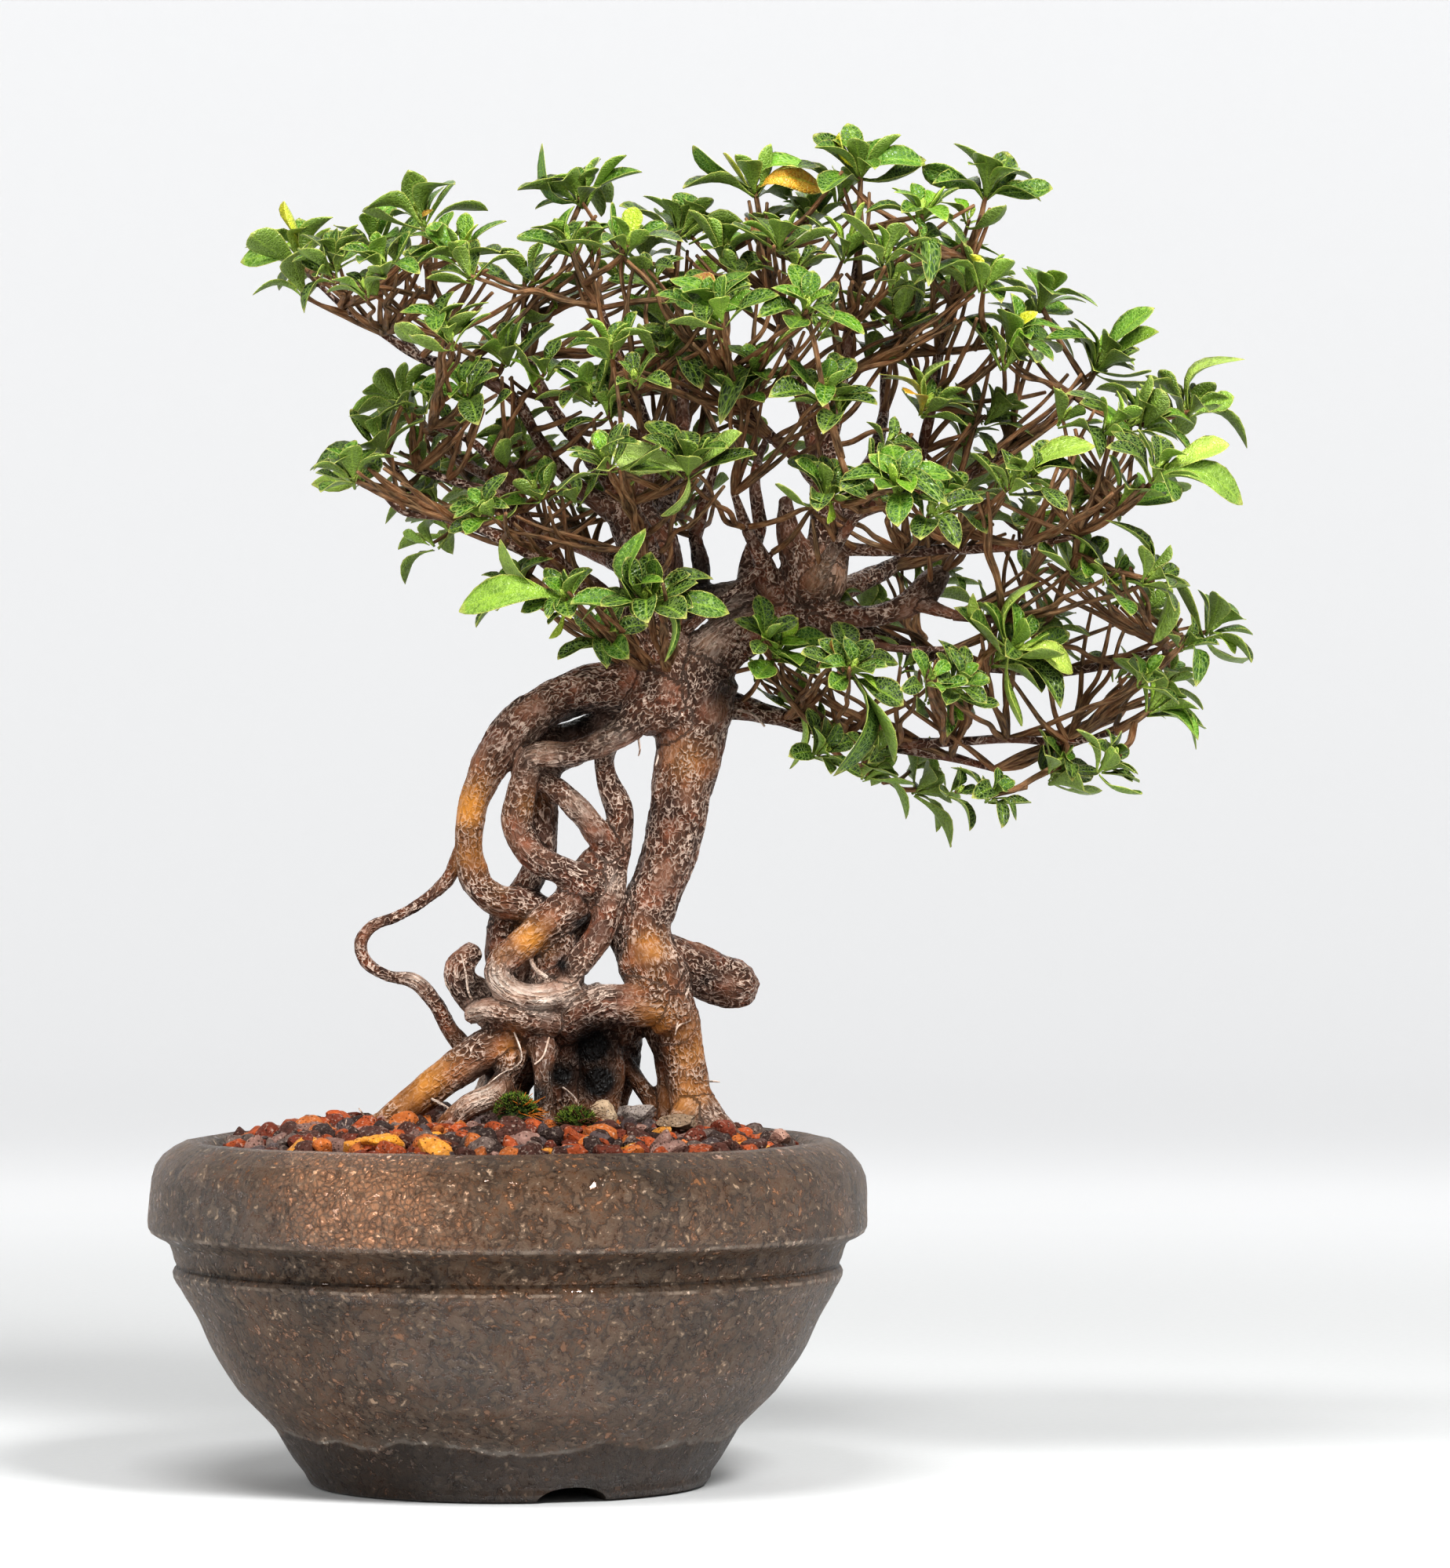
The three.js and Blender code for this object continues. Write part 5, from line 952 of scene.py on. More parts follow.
def nearest_strand_grain(vertices, strands):
    """For each point, its place in the bark grain of the strand whose skin is nearest."""
    samples, origin = [], []
    for number, points in enumerate(strands):
        way = smooth_way(points, 2.0)
        tangents, across, up = frames_along(way)
        length = np.concatenate([[0], np.cumsum(np.linalg.norm(np.diff(way[:, :3], axis=0), axis=1))])
        for i in range(len(way)):
            samples.append(way[i])
            origin.append((tangents[i], across[i], up[i], length[i] + number * 61.0))
    tree = kdtree.KDTree(len(samples))
    for i, sample in enumerate(samples):
        tree.insert(sample[:3], i)
    tree.balance()
    grain = np.zeros((len(vertices), 3))
    for i, vertex in enumerate(vertices):
        found = min(tree.find_n(vertex, 5), key=lambda hit: hit[2] - samples[hit[1]][3])
        tangent, across, up, along = origin[found[1]]
        off = vertex - samples[found[1]][:3]
        grain[i] = (off.dot(across), off.dot(up), along + off.dot(tangent))
    return grain


def stained(vertices):
    """Ochre, pale and dark shares of the bark at each point. The dark share is painted shade."""
    colour = np.zeros((len(vertices), 4))
    colour[:, 3] = 1
    for x, z, reach, ochre, pale, dark in STAINS_AND_SHADE:
        near = np.exp(-((vertices[:, 0] - x) ** 2 + (vertices[:, 2] - z) ** 2) / (reach * 0.75) ** 2)
        colour[:, :3] = np.maximum(colour[:, :3], near[:, None] * np.array([ochre, pale, dark]))
    low = np.clip((150 - vertices[:, 2]) / 40, 0, 1) * 0.35
    colour[:, 0] = np.maximum(colour[:, 0], low)
    # Painted shade: inside the root mass, between its front and back, the skin is darkened.
    shade_between_roots = np.clip((vertices[:, 1] + 1) / 9, 0, 1) * np.clip((14 - vertices[:, 1]) / 6, 0, 1)
    shade_between_roots = shade_between_roots * np.clip((vertices[:, 0] + 10) / 10, 0, 1) * np.clip((50 - vertices[:, 0]) / 10, 0, 1)
    shade_between_roots = shade_between_roots * np.clip((262 - vertices[:, 2]) / 12, 0, 1) * 0.55
    colour[:, 2] = np.maximum(colour[:, 2], shade_between_roots)
    return colour


def grown_wood(material):
    """Roots, trunk and thick limbs, fused where they meet, with swellings and a rough skin."""
    thick_limbs = [[p for p in slimmed(points) if p[3] >= THINNEST_FUSED] for points in LIMBS.values()]
    strands = [*ROOTS.values(), *(points for points in thick_limbs if len(points) > 1)]
    heap = Heap()
    for number, points in enumerate(strands):
        vertices, faces, _ = swept(points, sides=20, step=2.5, lumps=0.13, seed=number * 3.1)
        heap.add(vertices, faces)
    wood = heap.piece("roots_trunk_and_limbs", [material])
    fuse = wood.modifiers.new("fuse", "REMESH")
    fuse.mode = "VOXEL"
    fuse.voxel_size = WOOD_VOXEL * MM
    ease = wood.modifiers.new("ease", "SMOOTH")
    ease.factor = 0.5
    ease.iterations = 5
    applied(wood)
    count = len(wood.data.vertices)
    spots = np.zeros(count * 3)
    wood.data.vertices.foreach_get("co", spots)
    spots = spots.reshape(-1, 3) / MM
    normals = np.zeros(count * 3)
    wood.data.vertices.foreach_get("normal", normals)
    normals = normals.reshape(-1, 3)
    grain = nearest_strand_grain(spots, strands)
    lift = np.zeros(count)
    for i in range(count):
        g = Vector(grain[i])
        ridge = noise.noise(Vector((g.x / 1.5, g.y / 1.5, g.z / 9)))
        knob = noise.noise(Vector((g.x / 4, g.y / 4, g.z / 6)))
        fleck = noise.noise(Vector((g.x / 0.9, g.y / 0.9, g.z / 1.7)))
        lift[i] = 0.38 * ridge + 0.6 * knob + 0.22 * fleck
    radius = np.hypot(grain[:, 0], grain[:, 1])
    colour = stained(spots)
    calm = np.clip(radius / 6, 0.35, 1) * (1 - 0.6 * colour[:, 0])
    spots = spots + normals * (lift * calm)[:, None]
    wood.data.vertices.foreach_set("co", (spots * MM).ravel())
    wood.data.polygons.foreach_set("use_smooth", [True] * len(wood.data.polygons))
    store(wood, "grain_mm", "FLOAT_VECTOR", grain)
    store(wood, "stain", "FLOAT_COLOR", colour)
    wood.data.update()
    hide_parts("tree")


def fine_limbs(material):
    """The thin ends of the limbs, too fine to fuse, and loose root hairs."""
    heap = Heap()
    for number, points in enumerate(map(slimmed, LIMBS.values())):
        first_thin = next((i for i, p in enumerate(points) if p[3] < THINNEST_FUSED), None)
        if first_thin is None:
            continue
        end = points[max(0, first_thin - 1):]
        tapered = [*end[:-1], [*end[-1][:3], end[-1][3] * 0.8]]
        vertices, faces, grain = swept(tapered, sides=12, step=1.6, lumps=0.22, seed=200 + number * 2.3)
        # The limb ends are painted a little dark, as shade.
        heap.add(vertices, faces, grain_mm=grain, stain=np.tile([0, 0, 0.1, 1], (len(vertices), 1)))
    cores = np.array([p for strand in ROOTS.values() for p in smooth_way(strand, 2.0)])
    for number, points in enumerate(ROOT_HAIRS):
        start = np.array(points[0][:3])
        away = np.linalg.norm(cores[:, :3] - start, axis=1) - cores[:, 3]
        core = cores[np.argmin(away)]
        out = (start - core[:3]) / np.linalg.norm(start - core[:3])
        shift = core[:3] + out * (core[3] - 0.6) - start
        points = [[*(np.array(p[:3]) + shift), p[3]] for p in points]
        vertices, faces, grain = swept(points, sides=6, step=1.2, lumps=0.2, seed=400 + number)
        heap.add(vertices, faces, grain_mm=grain, stain=np.tile([0.2, 0.8, 0, 1], (len(vertices), 1)))
    kinds = {"grain_mm": "FLOAT_VECTOR", "stain": "FLOAT_COLOR"}
    ends = heap.piece("limb_ends_and_root_hairs", [material], kinds)
    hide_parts("tree")


ROOT_HAIRS = [
    [[-46, -14, 121, 0.35], [-48, -15, 124, 0.3], [-49, -15, 125.5, 0.2]],
    [[-56, -16, 117, 0.3], [-55.5, -16, 121, 0.25], [-55, -16, 124.5, 0.15]],
    [[-20, -6, 162, 0.5], [-22, -7, 165, 0.4], [-22.6, -7, 167.5, 0.25]],
    [[-10, -8, 158, 0.4], [-13, -10, 163, 0.4], [-14, -11, 170, 0.4], [-15.5, -10, 176, 0.3]],
    [[2, -12, 154, 0.4], [5, -15, 143, 0.4], [-2, -18, 138, 0.35], [-6, -19, 135, 0.2]],
    [[14, -13, 150, 0.4], [12, -17, 143, 0.35], [9, -18, 140, 0.3]],
    [[20, -12, 132, 0.45], [24, -20, 129, 0.4], [27, -24, 124, 0.3]],
    [[45, -8, 246, 0.45], [45.5, -9, 242, 0.35], [45, -9, 240, 0.25]],
    [[50, -4, 244, 0.5], [49, -6, 240, 0.4], [48.6, -6, 239, 0.3]],
    [[62, -8, 165, 0.5], [60, -10, 158, 0.45], [58, -11, 152, 0.3]],
    [[62, -8, 155, 0.4], [58, -11, 153, 0.4], [57, -12, 150, 0.25]],
    [[64, 0, 133, 0.4], [67, -1, 133, 0.3], [68.5, -1, 132.8, 0.2]],
    [[8, -8, 174, 1.0], [10, -12, 170, 0.9], [14, -14, 167, 0.8]],
    [[75, 2, 258, 0.7], [82, 1, 256, 0.6], [86, 1, 252, 0.4]],
    [[0, -3, 240, 0.4], [0.5, -5, 237, 0.3], [1, -5, 233.5, 0.2]],
    [[38, -14, 126, 0.4], [37, -18, 122, 0.4], [34, -22, 121, 0.3]],
    [[-24, -17, 128, 0.5], [-20, -18, 126, 0.45], [-17, -18, 124, 0.35]],
]


# ---- Leafy shoots ----
# Rosettes are (x, y, z, reach), as the part has them: a shoot's first leaves the nearest limb.
SHOOTS = [
    [[-69, -5, 407, 15], [-56, -20, 404, 12]],
    [[-45, 12, 413, 14], [-39, -12, 400, 12]],
    [[-28, -16, 419, 16], [-14, -22, 405, 13]],
    [[-1, -10, 374, 14], [-19, -28, 379, 13]],
    [[-42, -16, 345, 15], [-36, -4, 360, 13]],
    [[-50, -24, 334, 12], [-26, -26, 329, 11]],
    [[-13, -14, 361, 12]],
    [[-32, 26, 358, 13], [-22, 30, 338, 12]],
    [[10, -18, 329, 11], [3, -20, 350, 10]],
    [[-5, -24, 322, 10]],
    [[4, -14, 297, 13], [20, -18, 293, 11]],
    [[33, -18, 281, 11]],
    [[47, -30, 292, 14]],
    [[5, 14, 403, 13], [24, 18, 429, 14]],
    [[21, -20, 410, 13], [40, -28, 409, 13]],
    [[57, 10, 418, 14], [44, 30, 412, 13], [68, 30, 400, 13]],
    [[82, 8, 431, 15], [72, -4, 408, 13]],
    [[101, 10, 423, 13], [90, -20, 410, 12]],
    [[117, -8, 436, 15], [112, -22, 408, 12]],
    [[136, -14, 419, 12], [124, -32, 404, 12]],
    [[159, -4, 430, 14], [149, -20, 407, 14]],
    [[137, 14, 401, 13], [128, -10, 386, 13]],
    [[167, -10, 379, 14], [157, 6, 397, 12]],
    [[197, 8, 373, 15], [178, 8, 394, 14]],
    [[212, 2, 352, 14], [228, 4, 358, 14], [198, -14, 350, 12]],
    [[212, -38, 333, 14], [190, -38, 330, 12]],
    [[28, -28, 360, 13], [35, -40, 374, 12], [54, -34, 376, 13]],
    [[67, -32, 386, 14], [82, -36, 366, 12]],
    [[60, -56, 335, 15], [34, -50, 336, 12]],
    [[104, -36, 360, 13], [98, -44, 386, 12]],
    [[105, -50, 327, 13], [128, -62, 328, 13]],
    [[145, -30, 325, 14], [165, -30, 330, 12]],
    [[138, -18, 357, 13], [160, -4, 355, 12]],
    [[89, -18, 276, 12], [92, -4, 262, 10]],
    [[113, -24, 270, 13]],
    [[103, 6, 243, 11], [120, 10, 236, 13], [138, 26, 231, 12]],
    [[141, -8, 261, 12]],
    [[166, -28, 277, 15], [147, -34, 266, 11]],
    [[182, 0, 235, 13], [160, 8, 229, 10]],
    [[214, -8, 258, 14], [197, -10, 238, 11]],
    [[234, 6, 284, 15], [212, 10, 292, 12], [222, 10, 268, 11]],
    [[188, -22, 304, 13], [210, -28, 300, 13], [178, -20, 286, 12]],
    [[-14, 66, 335, 14], [6, 56, 340, 13], [-24, 52, 322, 12], [30, 46, 330, 12]],
    [[54, 74, 376, 14], [36, 60, 366, 13], [76, 58, 360, 13], [52, 46, 390, 13], [60, 60, 334, 12]],
    [[166, 74, 336, 14], [142, 64, 304, 13], [176, 54, 318, 12], [120, 48, 290, 12]],
]

ROSETTE_ROOM, TWIG_RADIUS = 29.5, 1.2
CROWN_HEART = np.array([75.0, 15.0, 300.0])


def settled(rosettes, placed):
    """Moves each rosette fore and aft in small steps until it clears those already placed."""
    moved = []
    for x, y, z, reach in rosettes:
        shift, tries = 0, 1
        while any(math.dist((px, py, pz), (x, y + shift, z)) < ROSETTE_ROOM for px, py, pz, _ in placed):
            shift = math.ceil(tries / 2) * 5 * (1 if tries % 2 == 0 else -1)
            tries += 1
        placed.append((x, y + shift, z, reach))
        moved.append(placed[-1])
    return moved


def nearest_point(strands, spot):
    """The nearest listed point to a spot among some strands, counting from their skin."""
    points = [p for strand in strands for p in strand[1:]]
    return min(points, key=lambda p: math.dist(p[:3], spot[:3]) - p[3])


def twig_way(start, end):
    """From, middle and to of a twig that leaves low and turns up to the light."""
    sag = min(4, abs(end[2] - start[2]) * 0.2)
    middle = [(a + b) / 2 for a, b in zip(start, end)]
    middle[2] -= sag
    return [list(start), middle, list(end)]


def along_twig(way, t):
    start, middle, end = (np.array(p[:3]) for p in way)
    return start * (1 - t) ** 2 + middle * 2 * t * (1 - t) + end * t * t


def facing(spot):
    out = np.array(spot[:3]) - CROWN_HEART
    out = out / np.linalg.norm(out) + [0.05, -0.05, 1.25]
    return out / np.linalg.norm(out)


LEAF_SHARES = [0, 0.1, 0.24, 0.38, 0.52, 0.64, 0.76, 0.87, 0.95, 1]
LEAF_WIDTHS = [0.13, 0.15, 0.32, 0.58, 0.82, 0.97, 1.0, 0.8, 0.44, 0.05]
LEAF_ACROSS = [-1, -0.55, 0, 0.55, 1]


def leaf_faces():
    """Faces of a closed blade: an upper and a lower skin, joined round the edge."""
    rows, columns = len(LEAF_SHARES), len(LEAF_ACROSS)
    lower = rows * columns
    faces = []
    for i in range(rows - 1):
        for j in range(columns - 1):
            a = i * columns + j
            faces.append((a, a + 1, a + columns + 1, a + columns))
            faces.append((lower + a, lower + a + columns, lower + a + columns + 1, lower + a + 1))
    rim = [j for j in range(columns)] + [i * columns + columns - 1 for i in range(1, rows)]
    rim += [(rows - 1) * columns + j for j in range(columns - 2, -1, -1)]
    rim += [i * columns for i in range(rows - 2, 0, -1)]
    for a, b in zip(rim, rim[1:] + rim[:1]):
        faces.append((b, a, lower + a, lower + b))
    return faces


LEAF_FACES = leaf_faces()


def add_leaf(heap, root, out, up, length, width, rng, colour, bow=0.1, heart=0.0):
    """One leaf from its stalk's foot, growing along out with its upper side towards up."""
    out = out / np.linalg.norm(out)
    side = np.cross(out, up)
    side /= np.linalg.norm(side)
    up = np.cross(side, out)
    twist, fold = rng.gauss(0, 0.25), rng.uniform(0.08, 0.3)
    curl, sway = rng.gauss(bow, 0.1), rng.gauss(0, 0.07)
    ruffle = rng.uniform(0, 6.28)
    points, blade, surface = [], [], []
    for skin, drop in ((0.0, 0.0), (1.0, 0.32)):
        for share, wide in zip(LEAF_SHARES, LEAF_WIDTHS):
            turn = twist * share
            for across in LEAF_ACROSS:
                w = across * wide * width / 2
                rise = abs(across) ** 1.4 * wide * width * fold - drop * (1 - 0.6 * abs(across))
                rise += 0.3 * math.sin(share * 9 + ruffle + across) * abs(across)
                arch = length * (curl * math.sin(share * math.pi) - curl * 1.3 * share * share)
                s = w * math.cos(turn) - rise * math.sin(turn) + sway * length * share * share
                u = w * math.sin(turn) + rise * math.cos(turn) + arch
                points.append(root + out * (share * length) + side * s + up * u)
                blade.append((across, share, skin))
                surface.append((w + ruffle * 20, share * length, ruffle * 11))
    tone = linear(colour)
    shade = rng.uniform(0.8, 1.2)
    warm = heart * np.clip(1 - np.array(LEAF_SHARES * 2) * 2.2, 0, 1)
    tint = np.array([[tone[c] * shade * (1 - h) + LEAF_HEART[c] * h for c in range(3)] + [1.0] for h in warm])
    tint = np.repeat(tint, len(LEAF_ACROSS), axis=0)
    heap.add(np.array(points), LEAF_FACES, slot=0, blade=blade, blade_mm=surface, leaf_colour=tint)


def add_rosette(heap, spot, axis, rng, count=8, young=0.0):
    """Leaves about a bud: long outer ones lying open, shorter ones standing round a pale tip."""
    centre, reach = np.array(spot[:3]), spot[3]
    axis = np.array(axis) + [rng.gauss(0, 0.14) for _ in range(3)]
    axis /= np.linalg.norm(axis)
    side = np.cross(axis, [0.2, 0.9, 0.1])
    side /= np.linalg.norm(side)
    other = np.cross(axis, side)
    turn = rng.uniform(0, 6.28)
    mood = rng.gauss(0.0, 0.1)
    for k in range(count):
        age = k / (count - 1)
        turn += GOLDEN_ANGLE
        lift = 0.38 + 0.75 * age ** 1.4 + rng.gauss(0, 0.2)
        radial = side * math.cos(turn) + other * math.sin(turn)
        out = radial * math.cos(lift) + axis * math.sin(lift)
        length = reach * (1.62 - 0.66 * age) * rng.uniform(0.84, 1.12)
        width = length * rng.uniform(0.41, 0.53)
        root = centre - axis * (3.0 * (1 - age)) + radial * 0.7
        bright = min(0.999, max(0.0, 0.2 * young + 0.32 * age + rng.gauss(0.06, 0.17) + mood))
        colour = LEAF_RAMP[int(bright * len(LEAF_RAMP))]
        if rng.random() < 0.004:
            colour = rng.choice(LEAF_AUTUMN)
        add_leaf(heap, root, out, axis - radial * 0.25, length, width, rng, colour, heart=0.55)
    for _ in range(3):
        turn += GOLDEN_ANGLE
        radial = side * math.cos(turn) + other * math.sin(turn)
        out = radial * 0.3 + axis
        add_leaf(heap, centre + axis * 0.4, out, -radial, reach * 0.42, reach * 0.15, rng, LEAF_BUD, bow=-0.1)


# Leaves that stand out: foot x and z, tip x and z, then the colour.
SINGLE_LEAVES = [
    (-69, 406, -73, 427, "#e9e02a"), (-72, 404, -88, 409, "#5d8426"), (-28, 416, -26, 423, "#d98a2a"),
    (24, 430, 6, 440, "#4f7a2a"), (24, 430, 43, 440, "#5f8a2a"), (82, 431, 60, 443, "#4f7a2a"),
    (82, 431, 98, 442, "#6d9a35"), (84, 428, 103, 434, "#e8a02c"), (117, 432, 109, 448, "#e6df30"),
    (117, 434, 137, 441, "#4f7a2a"), (112, 410, 118, 425, "#8fa83a"), (159, 428, 139, 440, "#4a7226"),
    (159, 428, 181, 430, "#3f6422"), (167, 374, 174, 390, "#e4d92c"), (198, 371, 217, 383, "#86a93a"),
    (198, 371, 213, 394, "#6d9a35"), (228, 358, 239, 379, "#a5bd52"), (228, 358, 243, 362, "#7f9f3e"),
    (212, 332, 235, 344, "#a5bd52"), (212, 330, 240, 328, "#7f9f3e"), (-40, 346, -63, 331, "#93ae45"),
    (0, 371, 12, 366, "#86b030"), (62, 335, 36, 341, "#a9bd6a"), (62, 334, 78, 347, "#93ae55"),
    (66, 332, 54, 320, "#a9bd6a"), (108, 336, 107, 318, "#a5c23c"), (146, 342, 150, 314, "#d3d83e"),
    (137, 350, 142, 374, "#a9bd6a"), (30, 290, 16, 280, "#b4c93c"), (20, 297, -14, 294, "#86a93a"),
    (20, 298, -4, 309, "#93ae45"), (113, 274, 105, 279, "#a0482a"), (113, 273, 124, 263, "#9cc42e"),
    (104, 258, 99, 240, "#86a93a"), (115, 262, 116, 236, "#2f4f1e"), (120, 260, 129, 241, "#3c5a24"),
    (160, 279, 186, 272, "#b9cc5a"), (160, 279, 152, 294, "#a5bd52"), (160, 279, 169, 300, "#a5bd52"),
    (162, 274, 166, 252, "#93ae45"), (180, 252, 184, 236, "#6d9a35"), (190, 258, 193, 241, "#7f9f3e"),
    (160, 246, 155, 232, "#5d8426"), (215, 258, 230, 250, "#6d9a35"), (234, 283, 243, 278, "#93ae45"),
    (68, 384, 82, 391, "#5f8a2a"), (68, 384, 55, 393, "#4f7a2a"), (47, 296, 22, 290, "#4a7226"),
    (47, 296, 73, 290, "#3f6422"), (47, 294, 40, 314, "#5f8a2a"), (48, 294, 58, 276, "#4a7226"),
    (128, 327, 120, 339, "#b9cc5a"), (96, 366, 100, 386, "#7f9f3e"), (176, 336, 190, 346, "#93ae45"),
]


LEAVES_GROWN = set()


def add_single_leaves(heap, spot, rng):
    """Any listed leaf whose foot is close to this bud, grown from the bud itself."""
    for foot_x, foot_z, tip_x, tip_z, colour in SINGLE_LEAVES:
        if math.hypot(spot[0] - foot_x, spot[2] - foot_z) > 15 or (tip_x, tip_z) in LEAVES_GROWN:
            continue
        LEAVES_GROWN.add((tip_x, tip_z))
        out = np.array([tip_x - spot[0], -4, tip_z - spot[2]])
        length = np.linalg.norm(out)
        upper_side = np.array([-out[2] * 0.25, -1, 0.45])
        width = length * rng.uniform(0.38, 0.46)
        add_leaf(heap, np.array(spot[:3]), out, upper_side, length, width, rng, colour)


def kinked_twig(start, end, thick, thin, rng):
    """Points of a twig that goes from start to end in a few short straight growths."""
    start, end = np.array(start[:3]), np.array(end[:3])
    length = np.linalg.norm(end - start)
    pieces = max(2, int(length / 9))
    points = []
    for i in range(pieces + 1):
        t = i / pieces
        place = start + (end - start) * t - UP * min(4, abs(end[2] - start[2]) * 0.2) * 2 * t * (1 - t)
        if 0 < i < pieces:
            place = place + np.array([rng.gauss(0, 0.9), rng.gauss(0, 0.9), rng.gauss(0, 0.6)])
        points.append([*place, thick + (thin - thick) * t])
    return points


def fan_starts(spot, points):
    """Listed limb points from which fine growth could reach a place from below."""
    near = []
    for point in points:
        away = math.dist(point[:3], spot[:3])
        if 16 < away < 62 and spot[2] - point[2] > 0.2 * away:
            near.append((away, point))
    return [point for _, point in sorted(near, key=lambda pair: pair[0])]


def leafy_shoots(leaf, bark):
    """Every shoot: forked twigs, its rosettes, and finer growth that fills the crown."""
    placed = []
    kinds = {"blade": "FLOAT_VECTOR", "blade_mm": "FLOAT_VECTOR", "leaf_colour": "FLOAT_COLOR",
             "grain_mm": "FLOAT_VECTOR"}
    limbs = list(LIMBS.values())
    limb_points = [point for strand in limbs for point in strand[1:]]
    for number, listed in enumerate(SHOOTS, 1):
        rng = random.Random(700 + number)
        heap = Heap()
        ways = []
        for end in settled(listed, placed):
            forks = [[way[0], [*along_twig(way, 0.5), TWIG_RADIUS]] for way in ways]
            ways.append(twig_way(nearest_point(forks or limbs, end), end))
        for way in ways:
            end = way[2]
            add_twig(heap, kinked_twig(way[0], end, 1.25, 0.85, rng), rng)
            add_rosette(heap, end, facing(end), rng, rng.randint(9, 12), max(0.0, (end[2] - 330) / 120))
            add_single_leaves(heap, end, rng)
            starts = fan_starts(end, limb_points)
            for _ in range(FILL_ROSETTES):
                inward = CROWN_HEART - np.array(end[:3])
                inward = inward / (np.linalg.norm(inward) + 1)
                shift = inward * rng.uniform(4, 13) + [rng.gauss(0, 5), rng.gauss(0, 15), rng.gauss(0, 4)]
                tip = np.array(end[:3]) + shift
                start = starts[min(len(starts) - 1, rng.randint(0, 3))] if starts else way[1]
                add_twig(heap, kinked_twig(start, tip, 1.1, 0.6, rng), rng)
                spot = [*tip, end[3] * rng.uniform(0.72, 1.0)]
                add_rosette(heap, spot, facing(spot), rng, rng.randint(5, 6), -0.6)
            for _ in range(BARE_TWIGS):
                if starts:
                    inward = CROWN_HEART - np.array(end[:3])
                    reach = inward / (np.linalg.norm(inward) + 1) * rng.uniform(4, 14)
                    reach = reach + [rng.gauss(0, 4), rng.gauss(0, 9), rng.gauss(0, 3)]
                    start = starts[min(len(starts) - 1, rng.randint(0, 5))]
                    add_twig(heap, kinked_twig(start, np.array(end[:3]) + reach, 1.15, 0.6, rng), rng)
        shoot = heap.piece(f"leaves_{number}", [leaf, bark], kinds)
        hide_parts(f"leafy_shoot_{number}")


def add_twig(heap, points, rng):
    """A twig with the small swellings that fallen leaves left."""
    vertices, faces, grain = swept(points, sides=7, step=2.2, lumps=0.3, seed=rng.uniform(0, 90))
    heap.add(vertices, faces, slot=1, grain_mm=grain)


# ---- Setting ----
def sweep_backdrop(material):
    """Pale paper under the bowl that curves up into a low wall all the way round."""
    sides = 120
    profile = [(0.3, 0), (1.4, 0), (3.4, 0)]
    profile += [(3.4 + 1.2 * math.sin(t), 1.2 - 1.2 * math.cos(t)) for t in np.linspace(0.1, math.pi / 2, 12)]
    profile.append((4.6, 2.2))
    turns = [2 * math.pi * k / sides for k in range(sides)]
    points = [(radius * math.cos(t), radius * math.sin(t), height - 0.0003)
              for radius, height in profile for t in turns]
    faces = [tuple(range(sides))]
    for ring in range(len(profile) - 1):
        base = ring * sides
        for k in range(sides):
            after = (k + 1) % sides
            faces.append((base + k, base + sides + k, base + sides + after, base + after))
    mesh = bpy.data.meshes.new("backdrop")
    mesh.from_pydata(points, [], faces)
    mesh.materials.append(material)
    mesh.polygons.foreach_set("use_smooth", [True] * len(faces))
    backdrop = bpy.data.objects.new("backdrop", mesh)
    bpy.context.scene.collection.objects.link(backdrop)


def softbox(name, place, target, size, watts):
    light = bpy.data.lights.new(name, "AREA")
    light.shape = "RECTANGLE"
    light.size, light.size_y = size
    light.energy = watts
    lamp = bpy.data.objects.new(name, light)
    lamp.location = place
    lamp.rotation_euler = (Vector(target) - Vector(place)).to_track_quat("-Z", "Y").to_euler()
    bpy.context.scene.collection.objects.link(lamp)


def studio():
    """Even daylight-white studio light, with the key high in front on the right."""
    world = bpy.data.worlds.new("studio")
    world.use_nodes = True
    world.node_tree.nodes["Background"].inputs[0].default_value = linear("#fefdfb")
    world.node_tree.nodes["Background"].inputs[1].default_value = AMBIENT
    bpy.context.scene.world = world
    heart = (0.07, 0, 0.25)
    softbox("key", (0.7, -1.1, 1.25), heart, (0.4, 0.4), KEY_WATTS)
    softbox("fill", (-1.3, -1.2, 0.7), heart, (1.0, 1.0), FILL_WATTS)
    softbox("top", (-0.2, -0.85, 1.5), heart, (0.7, 0.25), TOP_WATTS)
    softbox("back", (0.1, 1.2, 1.3), heart, (1.2, 0.8), BACK_WATTS)
    bpy.context.scene.view_settings.view_transform = "Standard"
    bpy.context.scene.view_settings.look = "Medium High Contrast"


def camera():
    """A long lens, level, in front of the crown and half way up the plant."""
    lens = bpy.data.cameras.new("camera")
    lens.sensor_fit = "VERTICAL"
    lens.sensor_height = 36
    lens.lens = 158.4
    lens.clip_end = 20
    eye = bpy.data.objects.new("camera", lens)
    eye.location = (0.072, -2.3, 0.233)
    eye.rotation_euler = (math.radians(90), 0, 0)
    bpy.context.scene.collection.objects.link(eye)
    bpy.context.scene.camera = eye


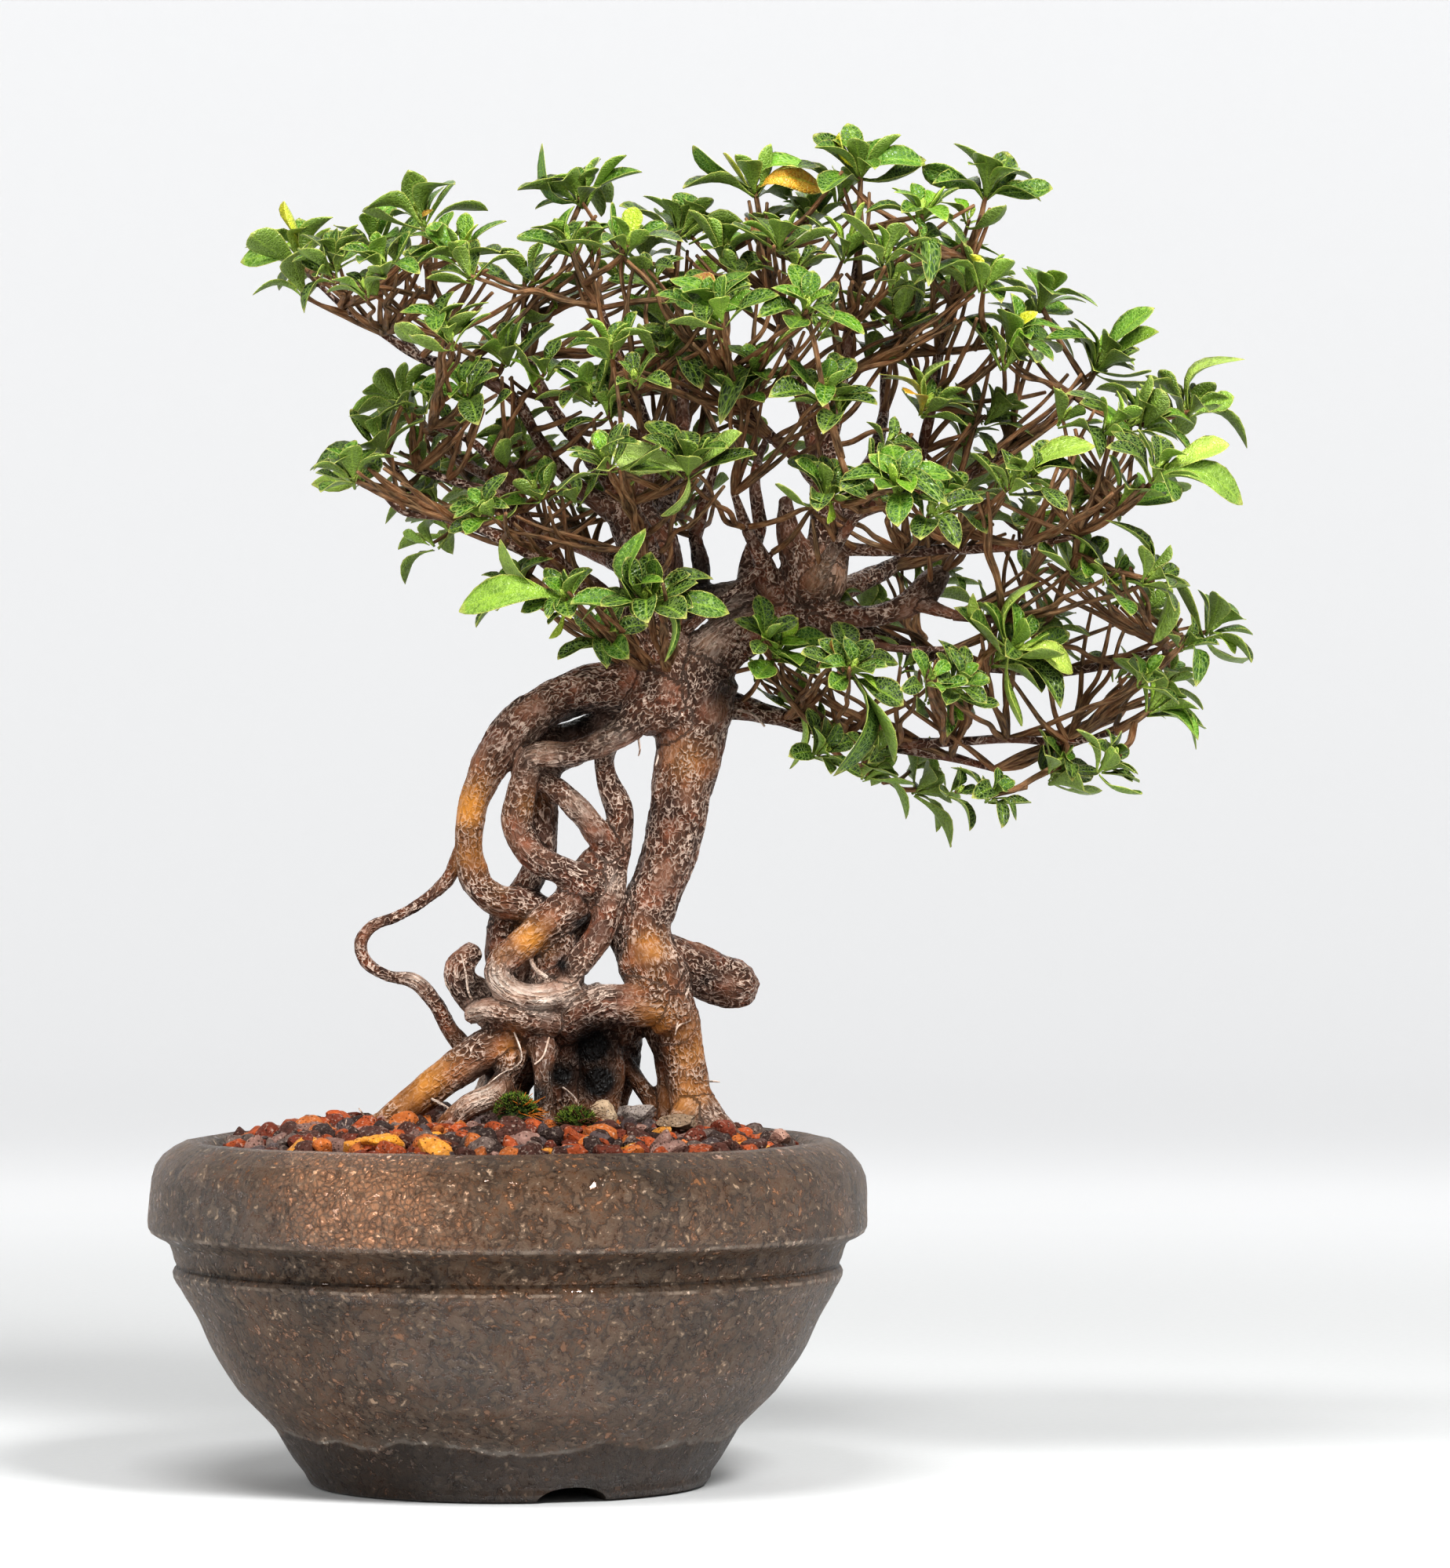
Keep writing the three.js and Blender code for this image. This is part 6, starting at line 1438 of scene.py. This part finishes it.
# ---- Palette ----
GLAZE_DARK, GLAZE_BROWN, GLAZE_GREY = "#4a3220", "#825a3c", "#9c8770"
GLAZE_WET, GLAZE_POOL_AND_SHADE, GLAZE_EDGE_WEAR_AND_HIGHLIGHT, GLAZE_COPPER_AND_HIGHLIGHT = "#2f2014", "#1a110b", "#c0a995", "#dda27a"
SCUM = "#a4988c"
BARK_DARK, BARK_BROWN, BARK_RUST, BARK_FLAKE = "#452a1d", "#6e4a37", "#85482a", "#cbb3a3"
BARK_SHADOW, BARK_CRACK_AND_SHADE = "#060302", "#22130c"
OCHRE_DARK, OCHRE = "#6f4314", "#b1741f"
PALE_SHADE, PALE_SKIN = "#a88a76", "#e0d0c2"
TWIG_DARK, TWIG_RED, TWIG_LIGHT = "#38220f", "#6c4427", "#b08f6a"
LEAF_DEEP, LEAF_VEIN, LEAF_RIB, LEAF_EDGE_AND_HIGHLIGHT, LEAF_UNDER = "#62743a", "#9fba58", "#94b43c", "#d2cb70", "#93ad4e"
LEAF_RAMP = ["#1a350a", "#254708", "#325b0c", "#477412", "#628f18", "#8eb222", "#b9cb32"]
LEAF_AUTUMN = ["#f0d810", "#f0a020", "#a0522d", "#d9c63a"]
LEAF_BUD, LEAF_HEART = "#a9bf45", linear("#93ab30")
STONE_SHADE, STONE_DUST, STONE_PORE = "#8a7a72", "#c9b8a8", "#24150f"
GRIT_COLOURS = ["#a04a20", "#b4652c", "#6c301d", "#4b2a20", "#4d403f", "#66564f", "#cf8c35", "#8d6c61",
                "#33201a"]
GRIT_SHARES = [13, 9, 15, 22, 12, 8, 4, 7, 12]
GRIT_BED_SHADE = "#160c08"
SOIL_DARK, SOIL_LIGHT = "#1d130d", "#4a3526"
MOSS_DEEP, MOSS_GREEN, MOSS_BRIGHT = "#141d0b", "#354a16", "#7c8f34"
MOSS_FIBRE, MOSS_ORANGE = "#4f3220", "#a8621f"

# ---- Fineness and light ----
WOOD_VOXEL, THINNEST_FUSED = 0.95, 1.9
FILL_ROSETTES, BARE_TWIGS = 1, 6
TOP_WATTS = 15
AMBIENT, KEY_WATTS, FILL_WATTS, BACK_WATTS, PAPER_GLOW = 0.19, 30, 14, 5, 0.385

glaze, bark, twig, leaf = stoneware_glaze(), root_bark(), twig_bark(), azalea_leaf()
grit, pebble = broken_stone("crushed_lava_and_clay", 1.4), broken_stone("worn_pebble", 0.9)
camera()
studio()
sweep_backdrop(studio_paper())
thrown_bowl(glaze)
loose_grit(grit)
larger_stones(pebble)
moss_tufts(living_moss())
grown_wood(bark)
fine_limbs(bark)
leafy_shoots(leaf, twig)
for name, finish in {"soil": damp_soil(), "drain_screen": moulded_screen()}.items():
    for node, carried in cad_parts.items():
        if node.startswith(name):
            carried.data.materials.clear()
            carried.data.materials.append(finish)
